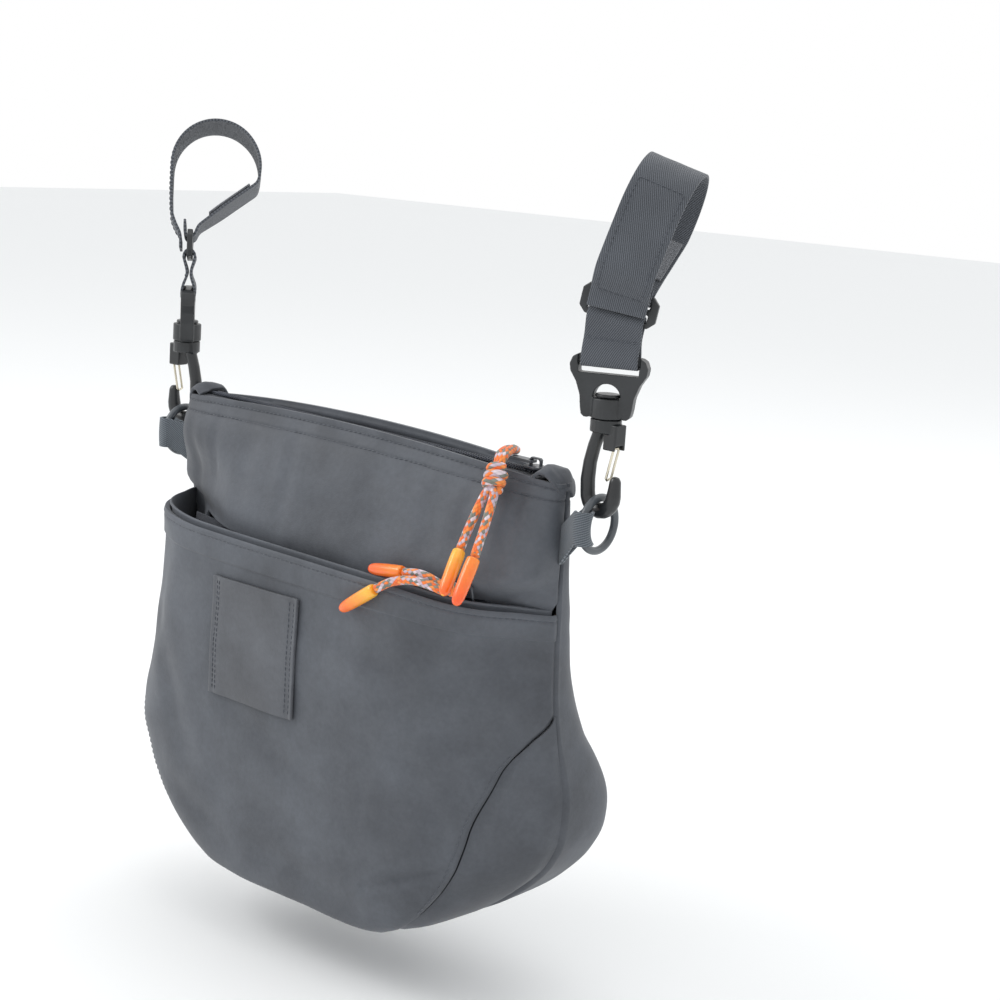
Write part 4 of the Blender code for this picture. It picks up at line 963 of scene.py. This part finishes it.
def makePatch():
    low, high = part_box("front_patch")
    cells = patchSet["cells"]
    wide, tall = high.x - low.x, high.z - low.z

    def spot(column, row):
        u, v = column / cells, row / cells
        x, z = low.x + wide * u, high.z - tall * v
        edge = min(u, 1 - u) * wide / mm
        puff = patchSet["puff"] * ease(edge, patchSet["sewnIn"], patchSet["sewnIn"] + patchSet["puffWidth"])
        groove = patchSet["groove"] * exp(-((edge - patchSet["sewnIn"]) / patchSet["grooveWidth"]) ** 2)
        lift = patchSet["lift"] * ease(u, patchSet["liftFrom"], 1.0) * (0.6 + 0.4 * sin(9 * v))
        ripple = patchSet["ripple"] * noise.noise(Vector((x, 0, z)) * 70)
        under = pocketSkin.ray_cast(Vector((x, low.y - 0.02, z)), Vector((0, 1, 0)))[0]
        return Vector((x, under.y - (patchSet["standsOff"] + puff + lift + ripple - groove) * mm, z))

    piece, _ = gridPiece("frontPatch", cells, cells, spot)
    faceOutward(piece, lambda co: Vector((0, 1, 0)) + Vector((co.x, 0, co.z)))
    skin = skinOf(piece)
    thicken(piece, patchSet["thick"], patchSet["edge"])
    ready(piece, "patch", "bag", "leather", "front_patch")
    for name, start, toward in (("Left", low.x, mm), ("Right", high.x, -mm)):
        for row, offset in (("Outer", 0.0), ("Inner", patchSet["secondRow"])):
            x = start + toward * (patchSet["sewnIn"] + offset)
            line = [Vector((x, low.y, high.z - tall * (0.03 + 0.94 * k / 30))) for k in range(31)]
            stitches("patchStitch%s%s" % (name, row), laid(skin, line), "patch")


makePatch()
print("patch done")


# Zips
zipSet = {"at": 10.0, "endInset": 10.5, "coilShort": 4.4, "tape": 0.8, "tapeApart": 0.5, "cells": (90, 8),
          "coilWidth": 2.6, "coilHeight": 1.9, "split": 0.6, "gap": 0.3, "pitch": 1.5, "perTurn": 8,
          "wire": 0.36, "coverOverlap": 3.1}
pocketZip = {"at": -52.0, "tapeAt": -34.0, "bend": 465.0, "tapeInset": 24.75, "coilInset": 26.3,
             "tapeHalf": 5.2, "cells": (80, 10), "coilShort": 0.5}


def zipHalfLength():
    return bagHalf(bag["topEdge"]) - zipSet["endInset"]


def coilPiece(name, spot, reach, *nodes):  # a flattened helix of nylon wire
    steps = int(2 * reach / zipSet["pitch"]) * zipSet["perTurn"]
    width = (zipSet["coilWidth"] - zipSet["split"] / 2) / 2 - zipSet["wire"]
    height = zipSet["coilHeight"] / 2 - zipSet["wire"]
    middle = (zipSet["coilWidth"] + zipSet["split"] / 2) / 2
    axis = zipSet["gap"] + zipSet["coilHeight"] / 2
    points = []
    for k in range(steps + 1):
        turn = 2 * pi * k / zipSet["perTurn"]
        x = -reach + 2 * reach * k / steps
        points.append(spot(x, middle + width * cos(turn), axis + height * sin(turn)))
    piece = tubePiece(name, points, [zipSet["wire"] * mm] * len(points), 5)
    return ready(piece, "coil", "bag", "zip", *nodes)


def makeMainZip():
    back = curveAt(seamBack, bag["topEdge"])
    wide = bagHalf(bag["topEdge"]) - bag["leather"] - zipSet["gap"]
    middle = tilted(0, back, zipSet["at"])
    half = zipHalfLength()
    columns, rows = zipSet["cells"]
    for name in ("front", "back"):
        toward = walls[name]["toward"]
        corner = curveAt(walls[name]["corner"], bag["topEdge"]) - 0.4
        reach = curveAt(walls[name]["depth"], bag["topEdge"]) - bag["leather"] - zipSet["gap"]

        def spot(column, row):
            x = -half + 2 * half * column / columns
            edge = reach * (1 - abs(x / wide) ** corner) ** (1 / corner)
            y = zipSet["tapeApart"] + (edge - zipSet["tapeApart"]) * row / rows
            return middle @ Vector((x, toward * y, 0)) * mm

        tape, _ = gridPiece("zipTape_" + name, columns, rows, spot,
                            lambda c, r: (r * 0.0012, c * 2 * half * mm / columns))
        faceOutward(tape, lambda co: co - Vector((0, 0, 1)))
        applyStep(tape, "SOLIDIFY", thickness=zipSet["tape"] * mm, offset=-1.0)
        ready(tape, "tape", "bag", "zip", "main_zip_tape_" + name)
        coilPiece("zipCoil_" + name, lambda x, y, z: middle @ Vector((x, toward * y, z)) * mm,
                  half - zipSet["coilShort"], "main_zip_coil_" + name)
    for side, sign in sides.items():
        makeCover(side, sign, back)


hood = {"rise": 3.0, "fall": 7.0, "behind": 13.0, "infront": 9.4, "overEdge": 4.0, "past": 0.8,
        "close": 0.97, "round": 2.6, "thick": 1.6, "over": 1.0, "edge": 0.4, "fold": 0.7,
        "dents": 0.5, "cells": (22, 30)}


def makeCover(side, sign, back):
    start, end = zipHalfLength() - zipSet["coverOverlap"], bagHalf(bag["topEdge"]) + hood["past"]
    columns, rows = hood["cells"]
    base = zipSet["at"] + zipSet["coilHeight"] + zipSet["gap"] + hood["over"]

    def spot(column, row):
        share, out = column / columns, -1 + 2 * row / rows
        x = start + (end - start) * share
        crest = base + hood["rise"] * sin(pi * min(share * 1.1, 1.0)) - hood["fall"] * share**3
        fold = hood["fold"] * sin(9 * share + 3 * out) * (1 - out**2)
        fold += hood["dents"] * noise.noise(Vector((x, out * 9, 3)) * 0.3)
        reach = hood["behind"] if out > 0 else hood["infront"]
        close = sqrt(1 - (hood["close"] * share) ** hood["round"])
        over = hood["overEdge"] * ease(out, 0.55, 1.0) * close
        return onBag(sign * x, back + out * reach * close, crest - 2.4 * out**2 - over + fold * close)

    cover, _ = gridPiece("zipEnd_" + side, columns, rows, spot)
    faceOutward(cover, lambda co: co - Vector((0, 0, 1)))
    thicken(cover, hood["thick"], hood["edge"])
    ready(cover, "leather", "bag", "leather", "zip_end_cover_" + side)


def makePocketZip():
    base = tilted(0, pocketZip["tapeAt"], pocketZip["at"])
    bend = pocketZip["bend"]
    columns, rows = pocketZip["cells"]

    def bent(distance, y, z):  # along the bend, up, out of the tape
        place = (base @ Matrix.Translation((0, bend, 0)) @ Matrix.Rotation(distance / bend, 4, "Z")
                 @ Matrix.Translation((0, -bend, 0)) @ Matrix.Rotation(pi / 2, 4, "X"))
        return place @ Vector((0, y, z)) * mm

    def reach(inset):
        return bend * asin((bagHalf(bag["mouth"]) - inset) / bend)

    def spot(column, row):
        x = reach(pocketZip["tapeInset"]) * (-1 + 2 * column / columns)
        return bent(x, pocketZip["tapeHalf"] * (1 - 2 * row / rows), 0)

    tape, _ = gridPiece("pocketTape", columns, rows, spot, lambda c, r: (r * 0.001, c * 0.0024))
    faceOutward(tape, lambda co: Vector((co.x, 1, co.z)))
    applyStep(tape, "SOLIDIFY", thickness=zipSet["tape"] * mm, offset=-1.0)
    ready(tape, "tape", "bag", "zip", "pocket_zip_tape")
    half = reach(pocketZip["coilInset"]) - pocketZip["coilShort"]
    coilPiece("pocketCoilLow", lambda x, y, z: bent(x, -y, z), half)
    coilPiece("pocketCoilHigh", bent, half, "pocket_zip_coil")


makeMainZip()
makePocketZip()
print("zips done")


# Moulded and metal pieces: the CAD node's shape with rounded edges
def mouldedCopy(node, name, finish, body, slot, voxel, smooth):
    piece = newPiece(name, bpy.data.objects[node].data.copy())
    piece.data.name = name
    mergeClose(piece)
    onlySelected(piece)
    applyStep(piece, "REMESH", mode="VOXEL", voxel_size=voxel * mm, use_smooth_shade=True)
    applyStep(piece, "SMOOTH", factor=0.5, iterations=smooth)
    piece.data.shade_smooth()
    return ready(piece, finish, body, slot, node)


# node, name, finish, body, slot, voxel in mm, smoothing steps; %s stands for the side
mouldedSet = {
    "sides": (("swivel_hook_%s", "hook_%s", "hookPlastic", "hook_%s", "plastic", 0.36, 7),
              ("hook_gate_%s", "gateWire_%s", "steel", "gate_%s", "steel", 0.16, 5),
              ("yoke_%s", "strapYoke_%s", "plastic", "straps", "plastic", 0.36, 5),
              ("band_slider_%s", "slider_%s", "plastic", "straps", "plastic", 0.36, 4)),
    "zips": (("main_zip_slider", "zipSlider", "zipMetal", "main_slider", "plastic", 0.16, 4),
             ("main_zip_pull", "zipPull", "zipMetal", "main_pull", "plastic", 0.14, 4),
             ("pocket_zip_slider", "pocketSlider", "zipMetal", "pocket_slider", "plastic", 0.18, 4),
             ("pocket_zip_bail", "pocketBail", "zipMetal", "pocket_slider", "enamel", 0.14, 4)),
}
for side in sides:
    for *names, voxel, smooth in mouldedSet["sides"]:
        mouldedCopy(*(name.replace("%s", side) for name in names), voxel, smooth)
for row in mouldedSet["zips"]:
    mouldedCopy(*row)
print("moulded pieces done")


ringSet = {"inner": 10.0, "wire": 1.85, "enamelGap": 0.05, "dents": 0.02}


def makeRing(side, sign):
    nothingSelected()
    bpy.ops.mesh.primitive_torus_add(
        major_radius=(ringSet["inner"] + ringSet["wire"]) * mm,
        minor_radius=(ringSet["wire"] - ringSet["enamelGap"]) * mm,
        major_segments=96, minor_segments=24, rotation=(0, pi / 2, 0),
        location=placeAt(sign * bag["hookSpan"] / 2, 0, -ringSet["inner"]))
    ring = bpy.context.active_object
    ring.name = ring.data.name = "metalRing_" + side
    bpy.ops.object.transform_apply(location=True, rotation=True, scale=True)
    for vertex in ring.data.vertices:
        vertex.co.x += ringSet["dents"] * mm * noise.noise(vertex.co * 300)
    ring.data.shade_smooth()
    ready(ring, "enamel", "ring_" + side, "enamel", "ring_" + side)


for side, sign in sides.items():
    makeRing(side, sign)
print("rings done")


# Straps: webbing along a path in the strap's own plane, back and height in mm
strapSet = {
    "turn": {"right": 24.0, "left": 42.0}, "width": 25.0, "web": 1.3, "gap": 0.3, "sliderAt": 86.0,
    "sliderHeight": 13.8, "sliderBar": 2.4, "yokeTop": 64.2, "slotHigh": 60.4, "barDepth": 4.4,
    "gripRadius": 21.5, "gripBack": 12.0, "lean": 18.0, "leanStart": 64.0, "leanEnd": 104.0,
    "pad": 1.0, "gripDown": 20.0, "clear": 0.1, "bandExtra": 1.0,
    "bandStart": (5.0, 2.5), "foot": (0.9, 2.4),
    "frontRun": ((0.0, 112.0), (0.6, 100.0)),       # behind the grip's front, and height
    "overSlider": ((3.6, 95.0), (0.7, 90.0), (0.5, 83.4)),  # before the wrap, and height
    "padRun": (0.1, 0.3, 0.5, 0.7, 0.78), "columns": 14, "edge": 0.28, "ripple": 0.10,
    "bandSewn": (90, 138), "bandRows": 10.2, "tabRow": 11.4,
}


def strapFrame(side, height):
    sign, turn = sides[side], radians(strapSet["turn"][side])
    start, end = strapSet["leanStart"], strapSet["leanEnd"]
    run = clamp(height, start, end) - start
    lean = radians(strapSet["lean"] * run / (end - start))
    shift = tan(radians(strapSet["lean"])) * (0.5 * run**2 / (end - start) + max(height - end, 0))
    out = Vector((sign * cos(turn), sin(turn), 0))
    back = Vector((-sign * sin(turn), cos(turn), 0))
    wide = out * cos(lean) - Vector((0, 0, 1)) * sin(lean)
    tall = out * sin(lean) + Vector((0, 0, 1)) * cos(lean)
    place = Matrix((wide, back, tall)).transposed().to_4x4()
    place.translation = (Vector((sign * bag["hookSpan"] / 2, 0, -bag["hangDrop"])) + out * shift
                         + Vector((0, 0, height)))
    return place


def arcOf(centre, radius, start, end, steps):
    angles = [radians(start + (end - start) * k / steps) for k in range(steps + 1)]
    return [(centre[0] + radius * cos(a), centre[1] + radius * sin(a)) for a in angles]


def strapPaths():
    make = strapSet
    web, gap = make["web"], make["gap"]
    bar = make["sliderHeight"] / 2 - make["sliderBar"] / 2
    wrap = sqrt(make["sliderBar"]**2 + (make["sliderBar"] + 0.4)**2) / 2 + gap + make["clear"] + web / 2
    topBar, lowBar = make["sliderAt"] + bar, make["sliderAt"] - bar
    grip = (make["gripBack"], bag["hangDrop"])
    roundGrip = make["gripRadius"] + gap + web / 2
    foot = (wrap + make["foot"][0], topBar + make["foot"][1])
    band = [(-wrap, topBar + up) for up in make["bandStart"]] + arcOf((0, topBar), wrap, 180, 360, 8) + [foot]
    band += arcOf(grip, roundGrip, -make["gripDown"], 180, 24)
    band += [(grip[0] - roundGrip + back, height) for back, height in make["frontRun"]]
    band += [(-wrap - web - out, height) for out, height in make["overSlider"]]
    turn = gap + make["clear"] + web / 2
    barHalf, close = make["barDepth"] / 2 + turn, web / 2 + gap
    under = [(make["barDepth"] / 2 + turn * cos(radians(a)), make["slotHigh"] - turn * sin(radians(a)))
             for a in (0, 30, 60, 90)]
    stitchAt = (make["yokeTop"] + lowBar) / 2
    tab = [(-wrap, lowBar - 1.0)] + arcOf((0, lowBar), wrap, 180, 0, 8) + [(wrap, lowBar - 1.0)]
    tab += [(close, stitchAt + 1.0), (close, stitchAt - 1.5), (barHalf, make["yokeTop"] + 0.6)] + under
    tab += [(-out, height) for out, height in under[::-1]]
    tab += [(-barHalf, make["yokeTop"] + 0.6), (-close, stitchAt - 1.5), (-close, stitchAt + 1.0)]
    start = Vector(arcOf(grip, roundGrip, -make["gripDown"], 0, 1)[0])
    low = Vector(foot)
    along = (low - start).normalized()
    inward = Vector((along.y, -along.x)) * (web / 2 + gap + 0.2 + make["pad"] / 2)
    if (start + inward - Vector(grip)).length > roundGrip:
        inward = -inward
    pad = [start.lerp(low, t) + inward for t in make["padRun"]]
    return band, tab, pad, stitchAt


def fineLine(path, step=1.2, closed=False):  # straight between the points, with evenly spaced spots
    pts = [Vector(p) for p in path] + ([Vector(path[0])] if closed else [])
    fine = []
    for p, q in zip(pts, pts[1:]):
        count = max(1, round((q - p).length / step))
        fine += [p.lerp(q, k / count) for k in range(count)]
    fine.append(pts[-1])
    for _ in range(2):
        kept = [v.copy() for v in fine]
        for k in range(1, len(fine) - 1):
            fine[k] = kept[k] * 0.5 + (kept[k - 1] + kept[k + 1]) * 0.25
    return fine


def strapSpot(side, fine, k, out, lift):
    last = len(fine) - 1
    ahead = (fine[min(k + 1, last)] - fine[max(k - 1, 0)]).normalized()
    return strapFrame(side, fine[k].y) @ Vector((out, fine[k].x + ahead.y * lift, -ahead.x * lift)) * mm


def webbing(name, side, path, width, thick, finish, node, closed=False):
    fine = fineLine(path, closed=closed)
    reach = distances(fine)
    columns = strapSet["columns"]

    def spot(column, row):
        out = width * (-0.5 + column / columns)
        ripple = strapSet["ripple"] * noise.noise(Vector((out * 0.16, reach[row] * 0.09, sides[side])))
        ripple *= ease(min(row, len(fine) - 1 - row), 0, 5)
        return strapSpot(side, fine, row, out, ripple)

    def texture(column, row):
        return width * mm * column / columns, reach[row] * mm

    piece, _ = gridPiece(name, columns, len(fine) - 1, spot, texture)
    if closed:
        mergeClose(piece)
    thicken(piece, thick, strapSet["edge"], offset=0.0)
    ready(piece, finish, "straps", "webbing", node)
    return fine


def surfaceSpot(side, fine, k, out, lift):  # with the direction that faces away from the webbing
    near, far = (strapSpot(side, fine, k, out, up) for up in (0.0, lift))
    return far, (far - near).normalized()


def sewAlong(name, side, fine, run, out, lift):
    spots = [surfaceSpot(side, fine, k, out, lift) for k in run]
    stitches("%s_%s" % (name, side), spots, "strap")


def sewAcross(name, side, fine, k, half, lift):
    spots = [surfaceSpot(side, fine, k, half * (-1 + 2 * t / 12), lift) for t in range(13)]
    stitches("%s_%s" % (name, side), spots, "strapEnd")


def makeStrap(side):
    band, tab, pad, stitchAt = strapPaths()
    width, web = strapSet["width"], strapSet["web"]
    lift = web / 2 + 0.05
    fine = webbing("handleBand_" + side, side, band, width + strapSet["bandExtra"], web, "webbing",
                   "handlebar_band_" + side)
    low, high = strapSet["bandSewn"]
    run = [k for k in range(len(fine)) if k > (len(fine) - 1) * 0.6 and low < fine[k].y < high]
    half = strapSet["bandRows"]
    sewAlong("bandEdgeStitch1", side, fine, run, -half, lift)
    sewAlong("bandEdgeStitch2", side, fine, run, half, lift)
    sewAcross("bandCrossStitch", side, fine, max(run, key=lambda k: fine[k].y), half, lift)
    sewAcross("bandEndStitch", side, fine, min(run, key=lambda k: fine[k].y), half, lift)
    fine = webbing("hookWebbing_" + side, side, tab, width, web, "webbing", "hook_webbing_" + side, True)
    front = next(k for k in range(len(fine)) if fine[k].x < 0 and abs(fine[k].y - stitchAt) < 1.5)
    sewAcross("tabCrossStitch", side, fine, front, strapSet["tabRow"], -lift)
    webbing("fuzzyPad_" + side, side, pad, width - 1, strapSet["pad"], "fuzzy", "closure_pad_" + side)


for side in sides:
    makeStrap(side)
print("straps done")


# Ring tabs: webbing round the ring, sewn into the side seam
tabSet = {"rows": 16, "reachUp": 7.0, "reachDown": 8.0, "rootHigh": -9.0, "rootLow": -27.0, "clear": 0.1,
          "loopClear": 1.15, "neckLong": 4.5, "behindSeam": 0.35, "rearNeck": 0.8, "frontNeck": 3.5,
          "edge": 0.25, "edgeAngle": 60}


def makeTab(side, sign):
    inner, wireRadius, web, gap = ringSet["inner"], ringSet["wire"], strapSet["web"], strapSet["gap"]
    high, low, rows = tabSet["rootHigh"], tabSet["rootLow"], tabSet["rows"]
    ringX = bag["hookSpan"] / 2
    rootX = bagHalf(low - 2.0) + gap + tabSet["clear"]
    half = web / 2
    seamY = curveAt(seamBack, high) - half
    rootY, neckX = seamY - tabSet["behindSeam"], rootX + tabSet["neckLong"]
    loopHalf = wireRadius + tabSet["loopClear"] + half
    front = -(inner + 2 * wireRadius + gap + half)
    paths = []
    for k in range(rows + 1):
        share = k / rows
        offset = tabSet["reachUp"] - (tabSet["reachUp"] + tabSet["reachDown"]) * share
        rear = -sqrt(inner**2 - offset**2) + gap + tabSet["clear"] + half
        foldZ = -inner + offset
        rootZ = high + (low - high) * share - bag["tilt"] * sign * rootX
        middle, deep = (front + rear) / 2, (rear - front) / 2
        flat = [(rootX, rootY), (neckX, seamY - tabSet["rearNeck"])]
        for a in range(30, 331, 15):
            flat.append((ringX - loopHalf * cos(radians(a)), middle + deep * sin(radians(a))))
        flat += [(neckX, seamY - tabSet["frontNeck"]), (rootX, rootY - web - gap)]
        line = []
        for x, y in flat:
            run = clamp((x - rootX) / (ringX - loopHalf - rootX))
            line.append(placeAt(sign * x, y, rootZ + (foldZ - rootZ) * run))
        paths.append(line)
    reach = distances(paths[rows // 2])
    piece, _ = gridPiece("ringTab_" + side, len(reach) - 1, rows, lambda c, r: paths[r][c],
                         lambda c, r: (r * 0.0012, reach[c]))
    thicken(piece, web, tabSet["edge"], tabSet["edgeAngle"], 0.0)
    ready(piece, "tab", "bag", "webbing", "ring_tab_" + side)


for side, sign in sides.items():
    makeTab(side, sign)
print("ring tabs done")


# Floor, light and view
studio = {
    "floorBelow": 0.03, "floorSize": 12.0, "floorColor": paint(250, 250, 249), "world": 0.92,
    "lamps": (("key", (-1.2, -1.1, 1.2), 1.0, 15.0), ("top", (0.2, 0.3, 1.7), 1.4, 6.0),
              ("rear", (0.4, 1.6, 0.8), 1.2, 3.0)),
}


def makeStudio():
    low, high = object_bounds()
    nothingSelected()
    bpy.ops.mesh.primitive_plane_add(size=studio["floorSize"], location=(0, 0, low.z - studio["floorBelow"]))
    floor = bpy.context.active_object
    floor.name = "studioFloor"
    finish, tree, shader = newFinish("paleFloor", 0.9)
    shader.inputs["Base Color"].default_value = studio["floorColor"]
    floor.data.materials.append(finish)
    middle = (low + high) / 2
    for name, place, size, power in studio["lamps"]:
        bpy.ops.object.light_add(type="AREA", location=place)
        lamp = bpy.context.active_object
        lamp.name = name + "Lamp"
        lamp.data.size = size
        lamp.data.energy = power
        lamp.rotation_mode = "QUATERNION"
        lamp.rotation_quaternion = (middle - Vector(place)).to_track_quat("-Z", "Y")
    world = bpy.context.scene.world or bpy.data.worlds.new("studioWorld")
    bpy.context.scene.world = world
    world.use_nodes = True
    tree = world.node_tree
    tree.nodes.clear()
    path = addNode(tree, "LightPath")
    seen = addNode(tree, "Math", operation="MAXIMUM")
    wire(tree, path, "Is Camera Ray", seen, 0)
    wire(tree, path, "Is Transmission Ray", seen, 1)
    both = addNode(tree, "Math", operation="MAXIMUM")
    wire(tree, seen, 0, both, 0)
    wire(tree, path, "Is Glossy Ray", both, 1)
    lit = addNode(tree, "Background", {"Color": (0.96, 0.98, 1.0, 1), "Strength": studio["world"]})
    shown = addNode(tree, "Background", {"Color": (1, 1, 1, 1), "Strength": 1.0})
    mix = addNode(tree, "MixShader")
    wire(tree, both, 0, mix, 0)
    wire(tree, lit, 0, mix, 1)
    wire(tree, shown, 0, mix, 2)
    out = addNode(tree, "OutputWorld")
    wire(tree, mix, 0, out, "Surface")
    bpy.context.scene.view_settings.view_transform = "Standard"


makeStudio()
print("studio done")
